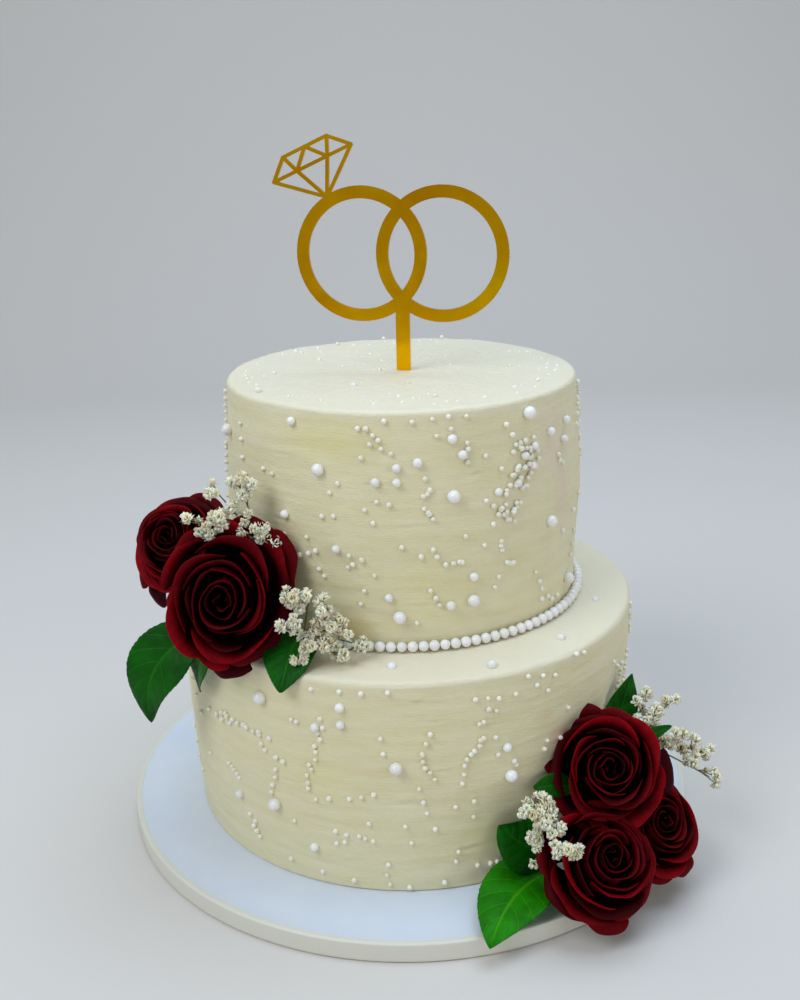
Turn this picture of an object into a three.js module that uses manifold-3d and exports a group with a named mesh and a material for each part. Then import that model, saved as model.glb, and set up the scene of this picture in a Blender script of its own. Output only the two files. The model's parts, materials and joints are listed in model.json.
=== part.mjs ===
// Two-tier buttercream wedding cake on its round white board, with a pearl border, scattered sugar
// pearls, two groups of dark red roses with leaves and gypsophila, and a gold interlocked-rings topper.
// Millimetres, +Z up, front towards -Y. The origin is the centre of the board's underside.

import * as THREE from "three";
import { mergeVertices } from "three/addons/utils/BufferGeometryUtils.js";
import Module from "manifold-3d";

const wasm = await Module();
wasm.setup();

// Driving dimensions
const BOARD = { radius: 141.2, height: 9.1, edge: 0.8, segments: 54 };
const LOWER = {
  base: BOARD.height,
  footRadius: 107.2,
  bellyRadius: 109.8,
  rimRadius: 109.7,
  rimHeight: 103,
  edge: 2.6,
  shelfRadius: 86,
  shelfHeight: 104.8,
  segments: 56,
};
const UPPER = {
  base: LOWER.base + LOWER.shelfHeight,
  footRadius: 82.3,
  bellyRadius: 84.3,
  rimRadius: 81.4,
  rimHeight: 105.2,
  edge: 2.2,
  shelfRadius: 60,
  shelfHeight: 106,
  segments: 52,
};
const GAP = 0.3; // air between pieces that touch
const EDGE_STEPS = 2; // flats on a rounded rim

const BORDER = { pearls: 114, radius: 2.34, waist: 1, sides: 4, roomSides: 8 };
const PEARL = { large: 2.7, middle: 1.9, small: 1.25, proud: 0.55 };

const TOPPER = {
  centre: [1.3, -5.8],
  turn: -12, // degrees about the vertical: its right side comes forward
  thickness: 1.6,
  ringRadius: 30.2,
  band: 5.6,
  ringSpacing: 37.1,
  ringHeight: 272.9,
  stickWidth: 6.5,
  stakeDepth: 15,
  segments: 16,
};
const DIAMOND = {
  seat: 30.6, // where it stands on the left ring, in degrees left of the ring's top
  tilt: 23.5, // degrees left of upright
  girdle: 39.8,
  table: 22.4,
  crown: 7.9,
  pavilion: 15.8,
  facet: 7.8,
  line: 1.6,
};

// Roses: centre of the head, the way it faces (degrees), outer radius, depth, height over width
const ROSES = {
  rose_left_front: {
    centre: [-75, -83, 141], azimuth: -94, elevation: 15, radius: 26, depth: 30, tall: 1.14, turn: 20,
  },
  rose_left_back: {
    centre: [-99, -56, 155], azimuth: -112, elevation: 38, radius: 20, depth: 27, tall: 1, turn: 110,
  },
  rose_right_top: {
    centre: [85, -96, 61], azimuth: -92, elevation: 36, radius: 23, depth: 28, tall: 1.04, turn: 200,
  },
  rose_right_low: {
    centre: [80, -119, 31], azimuth: -68, elevation: 44, radius: 23, depth: 27, tall: 1, turn: 300,
  },
  rose_right_side: {
    centre: [107, -92, 30], azimuth: -62, elevation: 40, radius: 21, depth: 26, tall: 1, turn: 60,
  },
};
const ROOT_DEPTH = 0.45; // how far behind its centre a head's root lies, over its depth
// Petals: the rim is the height where the lip starts to roll, and the outermost few are solids
const PETAL = {
  count: 20,
  solid: 5,
  spiral: 137.5,
  jitter: 24,
  width: 21,
  innerRim: 1.6,
  outerRim: 0.94,
  rimShare: 0.75,
  belly: [1.12, 0.86], // the belly's radius over the rim's, innermost and outermost
  bellyMore: 1,
  uneven: [0.14, 0.12], // spread of the rims' radii and heights
  wave: 0.045, // height of the rim's waves over the rose's radius
  waves: 3.4, // radians of waving to either side
  tuck: 0.09, // how far one side tucks in and the other stands out, over the rim's radius
  lipRadius: [1, 4.5],
  lipSweep: [16, 60],
  sideDrop: 0.24,
  columns: 4,
  rows: [0, 0.3, 0.55, 0.77, 1],
  inward: 0.55,
  down: 0.85,
};
// Loose outer petals: degrees round the head, how open (1 is the head's outermost), share of the width
const LOOSE = {
  rose_left_front: [[262, 1.08, 0.7], [20, 1.06, 0.8]],
  rose_left_back: [[222, 1.34, 0.6], [198, 1.22, 0.6], [60, 1.05, 0.6]],
  rose_right_top: [[350, 1.28, 0.7], [95, 1.04, 0.6]],
  rose_right_low: [[200, 1.05, 0.6], [238, 1.04, 0.7]],
  rose_right_side: [[345, 1.12, 0.6], [285, 1.08, 0.5]],
};
// Bud: radii and heights are shares of the rose's radius and depth where they are below 1
const BUD = {
  segments: 8,
  ridges: 2,
  ridgeDepth: 2.2,
  inset: 1,
  shoulder: [0.55, 0.18],
  brim: 0.72,
  calyx: 4,
  calyxRadius: [4, 5],
  stem: 1.8,
  stemSides: 5,
};

// Leaves: base and tip of the midrib, how its middle bows, the way the upper face looks, the width
const LEAVES = {
  leaf_left_big: {
    base: [-90, -60, 116.5], tip: [-118, -64, 71], bow: [-9, -4, 6], face: [-0.3, -0.9, 0.35], width: 27,
  },
  leaf_left_small: {
    base: [-86, -70, 116], tip: [-95, -62, 85], bow: [-2, -4, 2], face: [-0.7, -0.6, 0.2], width: 13,
  },
  leaf_left_low: {
    base: [-46, -74, 119.5], tip: [-53, -103, 105.5], bow: [0, -2.5, 5], face: [-0.2, -0.5, 0.9], width: 25,
  },
  leaf_right_bright: {
    base: [61, -101, 13], tip: [31, -145, 9.5], bow: [-3, 1, 5], face: [-0.2, -0.45, 0.9], width: 31,
  },
  leaf_right_dark: {
    base: [62, -99, 21], tip: [38, -107, 42], bow: [-2, -3, 0], face: [0.25, -0.9, 0.35], width: 24,
  },
  leaf_right_small: {
    base: [72, -92, 51], tip: [53, -102, 57], bow: [0, -2, 2], face: [0.4, -0.7, 0.6], width: 10,
  },
  leaf_right_top: {
    base: [92, -66, 48], tip: [103, -57, 87], bow: [-1, -2, 2], face: [0.3, -0.9, 0.1], width: 17,
  },
  leaf_right_thin: {
    base: [99, -82, 64], tip: [117, -78, 71.5], bow: [0, 0, 1], face: [0.1, -0.8, 0.6], width: 5,
  },
};
const LEAF = {
  along: 6,
  across: 4,
  thickness: 0.9,
  fold: 0.16,
  wave: 1.1,
  waves: 9, // radians of waving from base to tip
  waveWidth: 25, // leaf width that the wave is given for
  broadest: 0.8, // below 1, the leaf is broadest nearer its base
  fullness: 0.85, // below 1, the outline is fuller than half a sine
  end: 0.8,
};

// Gypsophila: where each bunch is held, and where its twigs end
const BUNCHES = {
  gypsophila_left_top: {
    foot: [-61, -67, 156],
    twigs: [
      [-70, -70, 188], [-80, -71, 185], [-89, -76, 172], [-79, -77, 175], [-67, -73, 173], [-60, -73, 163],
    ],
  },
  gypsophila_left_side: {
    foot: [-44, -88, 124],
    twigs: [
      [-47, -96, 146], [-40, -93, 144], [-49, -103, 134], [-33, -94, 139], [-38, -96, 128],
      [-30, -96, 119], [-45, -97, 119], [-24, -95, 130], [-17, -94, 121],
    ],
  },
  gypsophila_right_back: {
    foot: [102, -68, 60],
    twigs: [
      [110, -60, 78], [121, -60, 74], [107, -66, 70], [114, -64, 65], [121, -64, 56],
      [128, -66, 51], [139, -66, 48], [138, -70, 40],
    ],
  },
  gypsophila_right_front: {
    foot: [57, -112, 38],
    twigs: [
      [54, -113, 57], [49, -115, 55], [57, -117, 50], [52, -116, 43], [60, -124, 42], [66, -130, 44],
      [53, -118, 34],
    ],
  },
};
const FLORET = { radius: 3.1, perTwig: 2, spread: 2.8, stalk: 0.7, stalkSides: 3, core: 3.2 };

// Colours and finishes
const BUTTERCREAM = new THREE.MeshStandardMaterial({ color: 0xeceacf, roughness: 0.6 });
const BOARD_WHITE = new THREE.MeshStandardMaterial({ color: 0xe8edf2, roughness: 0.45 });
const PEARL_WHITE = new THREE.MeshStandardMaterial({ color: 0xf6f6f2, roughness: 0.3 });
const GOLD = new THREE.MeshStandardMaterial({ color: 0xd9a021, roughness: 0.15, metalness: 1 });
const ROSE_RED = new THREE.MeshStandardMaterial({ color: 0x5a0510, roughness: 0.6 });
const LEAF_GREEN = new THREE.MeshStandardMaterial({ color: 0x1f6b12, roughness: 0.45 });
const FLORET_CREAM = new THREE.MeshStandardMaterial({ color: 0xefe8d2, roughness: 0.8 });

const radians = THREE.MathUtils.degToRad;
const { clamp, lerp } = THREE.MathUtils;
const vector = (xyz) => new THREE.Vector3(...xyz);

// A repeatable draw from 0 to 1 for any whole number.
function draw(n) {
  const x = Math.sin(n * 12.9898 + 4.1) * 43758.5453;
  return x - Math.floor(x);
}

// Solids

function solidOf(geometry) {
  const bare = geometry.clone();
  bare.deleteAttribute("normal");
  bare.deleteAttribute("uv");
  const merged = mergeVertices(bare, 1e-4);
  const mesh = (turned) =>
    new wasm.Mesh({
      numProp: 3,
      vertProperties: new Float32Array(merged.attributes.position.array),
      triVerts: new Uint32Array(turned ? [...merged.index.array].reverse() : merged.index.array),
    });
  const made = new wasm.Manifold(mesh(false));
  return made.volume() < 0 ? new wasm.Manifold(mesh(true)) : made;
}

// Works a solid out now, so that later steps don't repeat the ones that led to it.
function settled(solid) {
  const { vertProperties, triVerts } = solid.getMesh();
  const copy = new wasm.Mesh({
    numProp: 3,
    vertProperties: Float32Array.from(vertProperties),
    triVerts: Uint32Array.from(triVerts),
  });
  return new wasm.Manifold(copy);
}

const join = (solids) => settled(solids.reduce((all, one) => all.add(one)));
const cut = (solid, cutters) => settled(cutters.reduce((left, cutter) => left.subtract(cutter), solid));

// The room that a piece takes up with the gap round it, for cutting its neighbours.
function room(solid) {
  const shifts = [[GAP, GAP, GAP], [-GAP, -GAP, GAP], [-GAP, GAP, -GAP], [GAP, -GAP, -GAP]];
  return join([solid, ...shifts.map((shift) => solid.translate(shift))]);
}

// The largest body of a cut solid: loose scraps are dropped.
function largest(solid) {
  return settled(solid.decompose().reduce((most, body) => (body.volume() > most.volume() ? body : most)));
}

function meshOf(name, solid, material) {
  const { vertProperties, triVerts } = solid.getMesh();
  const geometry = new THREE.BufferGeometry();
  geometry.setAttribute("position", new THREE.BufferAttribute(vertProperties, 3));
  geometry.setIndex(new THREE.BufferAttribute(triVerts, 1));
  geometry.computeVertexNormals();
  const mesh = new THREE.Mesh(geometry, material);
  mesh.name = name;
  return mesh;
}

// A solid of revolution about +Z from [radius, height] pairs that start and end on the axis.
function turned(profile, segments) {
  const points = profile.map(([r, z]) => new THREE.Vector2(r, z));
  return solidOf(new THREE.LatheGeometry(points, segments).rotateX(Math.PI / 2));
}

// A closed solid between a front and a back grid of points, both split into triangles alike.
function sheetSolid(front, back) {
  const rows = front.length;
  const columns = front[0].length;
  const positions = [...front.flat(), ...back.flat()].flatMap((p) => [p.x, p.y, p.z]);
  const at = (side, row, column) => (side * rows + row) * columns + column;
  const triangles = [];
  const quad = (a, b, c, d) => triangles.push(a, b, c, a, c, d);
  for (let r = 0; r < rows - 1; r++)
    for (let c = 0; c < columns - 1; c++) {
      quad(at(0, r, c), at(0, r, c + 1), at(0, r + 1, c + 1), at(0, r + 1, c));
      triangles.push(at(1, r, c), at(1, r + 1, c + 1), at(1, r, c + 1));
      triangles.push(at(1, r, c), at(1, r + 1, c), at(1, r + 1, c + 1));
    }
  const rim = [];
  for (let c = 0; c < columns - 1; c++) rim.push([0, c]);
  for (let r = 0; r < rows - 1; r++) rim.push([r, columns - 1]);
  for (let c = columns - 1; c > 0; c--) rim.push([rows - 1, c]);
  for (let r = rows - 1; r > 0; r--) rim.push([r, 0]);
  rim.forEach(([r, c], i) => {
    const [nextR, nextC] = rim[(i + 1) % rim.length];
    quad(at(0, nextR, nextC), at(0, r, c), at(1, r, c), at(1, nextR, nextC));
  });
  const geometry = new THREE.BufferGeometry();
  geometry.setAttribute("position", new THREE.Float32BufferAttribute(positions, 3));
  geometry.setIndex(triangles);
  return solidOf(geometry);
}

// A sheet of the given thickness about a surface point(across, along), both from 0 to 1.
function thicken(point, across, along, thickness) {
  const step = 1e-3;
  const grid = (side) =>
    Array.from({ length: along + 1 }, (_, j) =>
      Array.from({ length: across + 1 }, (_, i) => {
        const [s, t] = [i / across, j / along];
        const alongS = point(s + step, t).sub(point(s - step, t));
        const alongT = point(s, t + step).sub(point(s, t - step));
        const normal = alongS.cross(alongT).normalize();
        return point(s, t).addScaledVector(normal, (side * thickness) / 2);
      }),
    );
  return sheetSolid(grid(1), grid(-1));
}

// A prism between two points.
function rod(from, to, radius, sides) {
  const way = to.clone().sub(from);
  const geometry = new THREE.CylinderGeometry(radius, radius, way.length(), sides);
  const turn = new THREE.Quaternion().setFromUnitVectors(new THREE.Vector3(0, 1, 0), way.clone().normalize());
  const middle = from.clone().lerp(to, 0.5);
  return solidOf(geometry.applyQuaternion(turn).translate(middle.x, middle.y, middle.z));
}

// Cake board

function board(grow = 0) {
  const { radius, height, edge, segments } = BOARD;
  const profile = [
    [0, -grow],
    [radius - edge + grow, -grow],
    [radius + grow, edge],
    [radius + grow, height - edge],
    [radius - edge + grow, height + grow],
    [0, height + grow],
  ];
  return turned(profile, segments);
}

// Tiers

function tierProfile(tier, grow) {
  const { base, footRadius, bellyRadius, rimRadius, rimHeight, edge, shelfRadius, shelfHeight } = tier;
  const rim = Array.from({ length: EDGE_STEPS + 1 }, (_, i) => {
    const angle = (Math.PI / 2) * (i / EDGE_STEPS);
    const out = edge * Math.cos(angle) - edge + grow;
    return [rimRadius + out, base + rimHeight - edge + edge * Math.sin(angle) + grow * Math.sin(angle)];
  });
  return [
    [0, base - grow],
    [footRadius + grow, base - grow],
    [bellyRadius + grow, base + rimHeight / 2],
    ...rim,
    [shelfRadius, base + shelfHeight + grow],
    [0, base + shelfHeight + grow],
  ];
}

const tier = (sizes, grow = 0) => turned(tierProfile(sizes, grow), sizes.segments);

// The side's radius at a height above the tier's foot.
function sideRadius({ footRadius, bellyRadius, rimRadius, rimHeight, edge }, height) {
  const half = rimHeight / 2;
  if (height < half) return lerp(footRadius, bellyRadius, height / half);
  return lerp(bellyRadius, rimRadius, (height - half) / (half - edge));
}

// Sugar pearls: [degrees, height above the tier's foot] of those that stand out at the front
const LOWER_LARGE = [[-125, 88], [-123, 36], [-93, 64], [-67, 54], [-48, 64], [-67, 17]];
const LOWER_MIDDLE = [[-111, 80], [-105, 83], [-135, 32]];
const UPPER_LARGE = [
  [-115, 80], [-76, 69], [-50, 99], [-41, 48], [-70, 21], [-92, 16], [-26, 13], [-161, 85],
];
const UPPER_MIDDLE = [
  [-95, 25], [-124, 99], [-76, 93], [-86, 84], [-92, 82], [-98, 76], [-73, 86], [-110, 46], [-77, 20],
  [-40, 88], [-32, 82], [-70, 32],
];
const CLUSTER = { pearls: 12, from: [-49, 84], to: [-59, 54], scatter: [2.6, 3] };
const BACK_SIDE = { from: -10, to: 190, lowerLarge: 6, lowerMiddle: 5, upperLarge: 6, upperMiddle: 9 };

// Pearls for the part of a side that the front list leaves out, spread evenly with a seeded draw.
function spread(count, seed, lowest, highest) {
  return Array.from({ length: count }, (_, i) => {
    const share = (i + 0.2 + 0.6 * draw(seed + i)) / count;
    return [lerp(BACK_SIDE.from, BACK_SIDE.to, share), lerp(lowest, highest, draw(seed + 50 + i))];
  });
}

function clusterPearls() {
  const { pearls, from, to, scatter } = CLUSTER;
  return Array.from({ length: pearls }, (_, i) => {
    const share = i / (pearls - 1);
    const degrees = lerp(from[0], to[0], share) + scatter[0] * (2 * draw(700 + i) - 1);
    return [degrees, lerp(from[1], to[1], share) + scatter[1] * (2 * draw(800 + i) - 1)];
  });
}

function pearlOn(sizes, [degrees, height], radius) {
  const angle = radians(degrees);
  const reach = sideRadius(sizes, height) + radius * PEARL.proud;
  const place = new THREE.Vector3(Math.cos(angle) * reach, Math.sin(angle) * reach, sizes.base + height);
  return solidOf(new THREE.IcosahedronGeometry(radius).rotateZ(angle).translate(place.x, place.y, place.z));
}

const pearlsOn = (sizes, places, radius) => places.map((place) => pearlOn(sizes, place, radius));

// Pearl border: touching pearls round the foot of the upper tier, as one beaded ring
function border() {
  const { pearls, radius, waist, sides } = BORDER;
  const ring = UPPER.footRadius + GAP + radius;
  const height = UPPER.base + GAP + radius;
  const steps = pearls * 2;
  const positions = [];
  const triangles = [];
  for (let i = 0; i < steps; i++) {
    const angle = (i / steps) * 2 * Math.PI;
    const thick = i % 2 ? waist : radius;
    for (let s = 0; s < sides; s++) {
      const turn = (s / sides) * 2 * Math.PI + Math.PI / 2;
      const reach = ring + thick * Math.cos(turn);
      positions.push(Math.cos(angle) * reach, Math.sin(angle) * reach, height + thick * Math.sin(turn));
      const [a, b] = [i * sides + s, i * sides + ((s + 1) % sides)];
      const [c, d] = [((i + 1) % steps) * sides + ((s + 1) % sides), ((i + 1) % steps) * sides + s];
      triangles.push(a, b, c, a, c, d);
    }
  }
  const geometry = new THREE.BufferGeometry();
  geometry.setAttribute("position", new THREE.Float32BufferAttribute(positions, 3));
  geometry.setIndex(triangles);
  return solidOf(geometry);
}

// Room that the border takes up, as a plain ring for cutting its neighbours.
function borderRoom() {
  const { radius, roomSides } = BORDER;
  const ring = UPPER.footRadius + GAP + radius;
  const reach = radius + 2 * GAP;
  const profile = Array.from({ length: roomSides + 1 }, (_, i) => {
    const turn = (i / roomSides) * 2 * Math.PI;
    const height = UPPER.base + GAP + radius + reach * Math.sin(turn);
    return new THREE.Vector2(ring + reach * Math.cos(turn), height);
  });
  return solidOf(new THREE.LatheGeometry(profile, UPPER.segments).rotateX(Math.PI / 2));
}

// Topper

function plate(shape, grow = 0) {
  const depth = TOPPER.thickness + 2 * grow;
  const settings = { depth, bevelEnabled: false, curveSegments: TOPPER.segments };
  const geometry = new THREE.ExtrudeGeometry(shape, settings);
  return solidOf(geometry.translate(0, 0, -depth / 2).rotateX(Math.PI / 2));
}

function bar([x1, y1], [x2, y2], width, grow = 0) {
  const length = Math.hypot(x2 - x1, y2 - y1);
  const [nx, ny] = [((y1 - y2) / length) * (width / 2), ((x2 - x1) / length) * (width / 2)];
  const [ex, ey] = [((x2 - x1) / length) * (width / 4), ((y2 - y1) / length) * (width / 4)];
  const corners = [
    [x1 - ex + nx, y1 - ey + ny],
    [x1 - ex - nx, y1 - ey - ny],
    [x2 + ex - nx, y2 + ey - ny],
    [x2 + ex + nx, y2 + ey + ny],
  ];
  return plate(new THREE.Shape(corners.map(([x, y]) => new THREE.Vector2(x, y))), grow);
}

function ring(x) {
  const shape = new THREE.Shape();
  shape.absarc(x, TOPPER.ringHeight, TOPPER.ringRadius, 0, 2 * Math.PI);
  const hole = new THREE.Path();
  hole.absarc(x, TOPPER.ringHeight, TOPPER.ringRadius - TOPPER.band, 0, 2 * Math.PI, true);
  shape.holes.push(hole);
  return plate(shape);
}

function diamondBars() {
  const { seat, tilt, girdle, table, crown, pavilion, facet, line } = DIAMOND;
  const [round, lean] = [radians(seat), radians(tilt)];
  const reach = TOPPER.ringRadius - line / 2;
  const culet = [
    -TOPPER.ringSpacing / 2 - reach * Math.sin(round),
    TOPPER.ringHeight + reach * Math.cos(round),
  ];
  const place = (x, y) => [
    culet[0] - y * Math.sin(lean) + x * Math.cos(lean),
    culet[1] + y * Math.cos(lean) + x * Math.sin(lean),
  ];
  const [left, right] = [place(-girdle / 2, pavilion), place(girdle / 2, pavilion)];
  const [innerLeft, innerRight] = [place(-facet, pavilion), place(facet, pavilion)];
  const top = pavilion + crown;
  const [tableLeft, tableMiddle, tableRight] = [place(-table / 2, top), place(0, top), place(table / 2, top)];
  return [
    [culet, left], [culet, right], [culet, innerLeft], [culet, innerRight], [left, right],
    [left, tableLeft], [tableLeft, tableRight], [tableRight, right],
    [tableLeft, innerLeft], [innerLeft, tableMiddle], [tableMiddle, innerRight], [innerRight, tableRight],
  ].map(([from, to]) => bar(from, to, line));
}

function placeTopper(solid) {
  const [x, y] = TOPPER.centre;
  return solid.rotate([0, 0, TOPPER.turn]).translate([x, y, 0]);
}

// The flat stick below the rings, whose end stands in the cake as a stake.
function stick(grow = 0) {
  const cakeTop = UPPER.base + UPPER.shelfHeight;
  const foot = cakeTop - TOPPER.stakeDepth - grow;
  const head = TOPPER.ringHeight - TOPPER.ringRadius * 0.7;
  return bar([0, foot], [0, head], TOPPER.stickWidth + 2 * grow, grow);
}

function topper() {
  const half = TOPPER.ringSpacing / 2;
  return placeTopper(join([ring(-half), ring(half), stick(), ...diamondBars()]));
}

// Roses

// Frame of a rose head: local +Z is the way it faces and local +Y is up.
function roseFrame({ centre, azimuth, elevation, depth }) {
  const [a, e] = [radians(azimuth), radians(elevation)];
  const face = new THREE.Vector3(Math.cos(e) * Math.cos(a), Math.cos(e) * Math.sin(a), Math.sin(e));
  const right = new THREE.Vector3(0, 0, 1).cross(face).normalize();
  const up = face.clone().cross(right);
  const root = vector(centre).addScaledVector(face, -ROOT_DEPTH * depth);
  return new THREE.Matrix4().makeBasis(right, up, face).setPosition(root);
}

// How far out and how high a petal's rim is; t is 0 for the innermost petal and 1 for the outermost.
const rimRadius = (rose, t) => lerp(PETAL.innerRim, PETAL.outerRim * rose.radius, t ** 1.05);
const rimHeight = (rose, t) => rose.depth * (0.86 + 0.5 * t - 0.95 * t * t);
const uneven = (seed, amount) => 1 + amount * (draw(seed) - 0.5);

// One petal's surface: it cups out of the base up to its rim, and its lip rolls back from there.
function petalPoint(rose, k, loose) {
  const t = loose ? loose[1] : k / (PETAL.count - 1);
  const rim = rimRadius(rose, t) * uneven(k + 80, PETAL.uneven[0]);
  const height = rimHeight(rose, t) * uneven(k + 120, PETAL.uneven[1]);
  const belly = rim * lerp(...PETAL.belly, t) + PETAL.bellyMore;
  const lip = lerp(...PETAL.lipRadius, t);
  const lipStart = Math.atan2(rim - belly, 0.2 * height);
  const lipSweep = radians(lerp(...PETAL.lipSweep, t));
  const spiral = PETAL.spiral * k + PETAL.jitter * (draw(k) - 0.5) + rose.turn;
  const middle = radians(loose ? loose[0] : spiral);
  const phase = draw(k + 40) * 2 * Math.PI;
  const halfWidth = PETAL.width * (loose ? loose[2] : 1);
  return (s, v) => {
    const u = 2 * s - 1;
    const w = v * (1 - PETAL.sideDrop * Math.abs(u) ** 2.4);
    const q = Math.min(1, w / PETAL.rimShare);
    const p = 1 - q;
    const cup = 2 * p ** 3 + 3.3 * p * p * q * belly + 3 * p * q * q * belly + q ** 3 * rim;
    const lift = height * (0.3 * p * p * q + 2.4 * p * q * q + q ** 3);
    const rolled = Math.max(0, (w - PETAL.rimShare) / (1 - PETAL.rimShare));
    const bend = lipStart + lipSweep * rolled;
    const wave = PETAL.wave * rose.radius * t * w ** 3 * Math.sin(PETAL.waves * u + phase);
    const tuck = PETAL.tuck * rim * u;
    const reach = cup + lip * (Math.cos(lipStart) - Math.cos(bend)) + wave + tuck;
    const rise = lift + lip * (Math.sin(bend) - Math.sin(lipStart)) + 0.6 * wave;
    const spreading = 0.35 + 0.65 * Math.sin((Math.PI / 2) * Math.min(1, 1.2 * w));
    const angle = middle + (halfWidth * spreading * u) / Math.max(rim, 5);
    return new THREE.Vector3(reach * Math.cos(angle), reach * Math.sin(angle) * rose.tall, rise);
  };
}

// A petal as a flap: its back runs down into the bud behind it.
function petalSolid(rose, k, loose) {
  const point = petalPoint(rose, k, loose);
  const shares = Array.from({ length: PETAL.columns + 1 }, (_, i) => i / PETAL.columns);
  const front = PETAL.rows.map((v) => shares.map((s) => point(s, v)));
  const behind = new THREE.Vector3(PETAL.inward, PETAL.inward, PETAL.down);
  const back = front.map((row) => row.map((p) => p.clone().multiply(behind)));
  return sheetSolid(front, back);
}

// The rolled inner petals as a ridged bud, on its calyx.
function budProfile(rose) {
  const last = (PETAL.count - PETAL.solid - 1) / (PETAL.count - 1);
  const [low, high] = BUD.calyxRadius;
  const [out, up] = BUD.shoulder;
  const profile = [[0, -BUD.calyx], [low, -BUD.calyx], [high, 0], [out * rose.radius, up * rose.depth]];
  profile.push([rimRadius(rose, last), rimHeight(rose, last) * BUD.brim]);
  const steps = 2 * BUD.ridges;
  for (let i = steps; i > 0; i--) {
    const t = (last * i) / steps;
    const sink = i % 2 ? BUD.ridgeDepth : 0;
    profile.push([rimRadius(rose, t) - BUD.inset, rimHeight(rose, t) - sink - BUD.inset]);
  }
  profile.push([0, rimHeight(rose, 0) - BUD.inset]);
  return profile;
}

function roseSolid(name) {
  const rose = ROSES[name];
  const bud = turned(budProfile(rose), BUD.segments).scale([1, rose.tall, 1]);
  const first = PETAL.count - PETAL.solid;
  const petals = Array.from({ length: PETAL.solid }, (_, i) => petalSolid(rose, first + i));
  petals.push(...LOOSE[name].map((loose, i) => petalSolid(rose, PETAL.count + i, loose)));
  const stem = rod(
    new THREE.Vector3(0, 0, 1 - BUD.calyx),
    new THREE.Vector3(0, 0, -stemLength(rose)),
    BUD.stem,
    BUD.stemSides,
  );
  return join([bud, ...petals, stem]).transform(roseFrame(rose).elements);
}

// The stem is long enough to reach what the head leans on.
const stemLength = (rose) => ROOT_DEPTH * rose.depth + BUD.calyx;

// A half space that keeps the first rose on its side of the plane midway to the second.
function halfSpace(first, second) {
  const [a, b] = [vector(ROSES[first].centre), vector(ROSES[second].centre)];
  const way = b.clone().sub(a).normalize();
  const share = ROSES[first].radius / (ROSES[first].radius + ROSES[second].radius);
  const size = 120;
  const turn = new THREE.Quaternion().setFromUnitVectors(new THREE.Vector3(0, 0, 1), way);
  const place = a.clone().lerp(b, share).addScaledVector(way, size / 2 - GAP / 2);
  const box = new THREE.BoxGeometry(size, size, size).applyQuaternion(turn);
  return solidOf(box.translate(place.x, place.y, place.z));
}

const GROUPS = [
  ["rose_left_front", "rose_left_back"],
  ["rose_right_top", "rose_right_low", "rose_right_side"],
];

function fittedRose(name) {
  const neighbours = GROUPS.find((group) => group.includes(name)).filter((other) => other !== name);
  const planes = neighbours.map((other) => halfSpace(name, other));
  return cut(roseSolid(name), planes);
}

// Leaves

function leafSolid({ base, tip, bow, face, width }, seed) {
  const [start, end] = [vector(base), vector(tip)];
  const control = start.clone().lerp(end, 0.5).addScaledVector(vector(bow), 2);
  const midrib = new THREE.QuadraticBezierCurve3(start, control, end);
  const phase = draw(seed) * 2 * Math.PI;
  const point = (s, t) => {
    const along = clamp(t, 0, 1);
    const way = midrib.getTangent(along);
    const side = way.clone().cross(vector(face)).normalize();
    const normal = side.clone().cross(way);
    const outline = Math.sin(Math.PI * along ** LEAF.broadest) ** LEAF.fullness;
    const half = (width * outline + LEAF.end) / 2;
    const u = 2 * s - 1;
    const wave = LEAF.wave * (width / LEAF.waveWidth) * Math.sin(LEAF.waves * along + phase + u);
    const lift = LEAF.fold * half * Math.abs(u) + wave * u * u;
    return midrib
      .getPoint(along)
      .addScaledVector(way, t - along)
      .addScaledVector(side, half * u)
      .addScaledVector(normal, lift);
  };
  return thicken(point, LEAF.across, LEAF.along, LEAF.thickness);
}

// Gypsophila

// One bunch: a core where it is held, twigs, and florets round each twig's end that clear the neighbours.
function bunchSolid({ foot, twigs }, seed, obstacle) {
  const { radius, perTwig, spread: reach, stalk, stalkSides, core } = FLORET;
  const start = vector(foot);
  const pieces = [solidOf(new THREE.IcosahedronGeometry(core, 0).translate(start.x, start.y, start.z))];
  twigs.forEach((twig, i) => {
    const end = vector(twig);
    pieces.push(rod(start, end, stalk, stalkSides));
    for (let j = 0; j < perTwig; j++) {
      const n = seed + i * 10 + j;
      const turn = 2 * Math.PI * (j / perTwig + draw(n));
      const lift = draw(n + 3) * 2 - 1;
      const out = reach * (0.55 + 0.45 * draw(n + 5));
      const way = new THREE.Vector3(Math.cos(turn), Math.sin(turn), lift).normalize();
      const centre = end.clone().addScaledVector(way, out);
      const size = radius * (0.85 + 0.3 * draw(n + 7));
      const ball = (grow) =>
        solidOf(new THREE.OctahedronGeometry(size + grow).rotateX(n).translate(centre.x, centre.y, centre.z));
      if (obstacle.intersect(ball(GAP)).isEmpty()) pieces.push(ball(0));
    }
  });
  return largest(cut(join(pieces), [obstacle]));
}

// Assembly

const cake = new THREE.Group();
const add = (name, solid, material) => cake.add(meshOf(name, solid, material));

const ground = solidOf(new THREE.BoxGeometry(500, 500, 60).translate(0, 0, -30));
const carriers = join([board(GAP), tier(LOWER, GAP), tier(UPPER, GAP), borderRoom(), ground]);
let flowers = borderRoom();

// Cuts a piece by the room of those made before it, and keeps its own room for those made after it.
function place(made) {
  flowers = join([flowers, room(made)]);
  return made;
}

const roses = Object.keys(ROSES).map((name) => [name, largest(cut(fittedRose(name), [carriers]))]);
roses.forEach(([, solid]) => place(solid));
const leaves = Object.entries(LEAVES).map(([name, leaf], i) => [
  name,
  place(largest(cut(leafSolid(leaf, i), [carriers, flowers]))),
]);
const bunches = Object.entries(BUNCHES).map(([name, bunch], i) => [
  name,
  place(bunchSolid(bunch, 1000 * (i + 1), join([carriers, flowers]))),
]);

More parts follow.
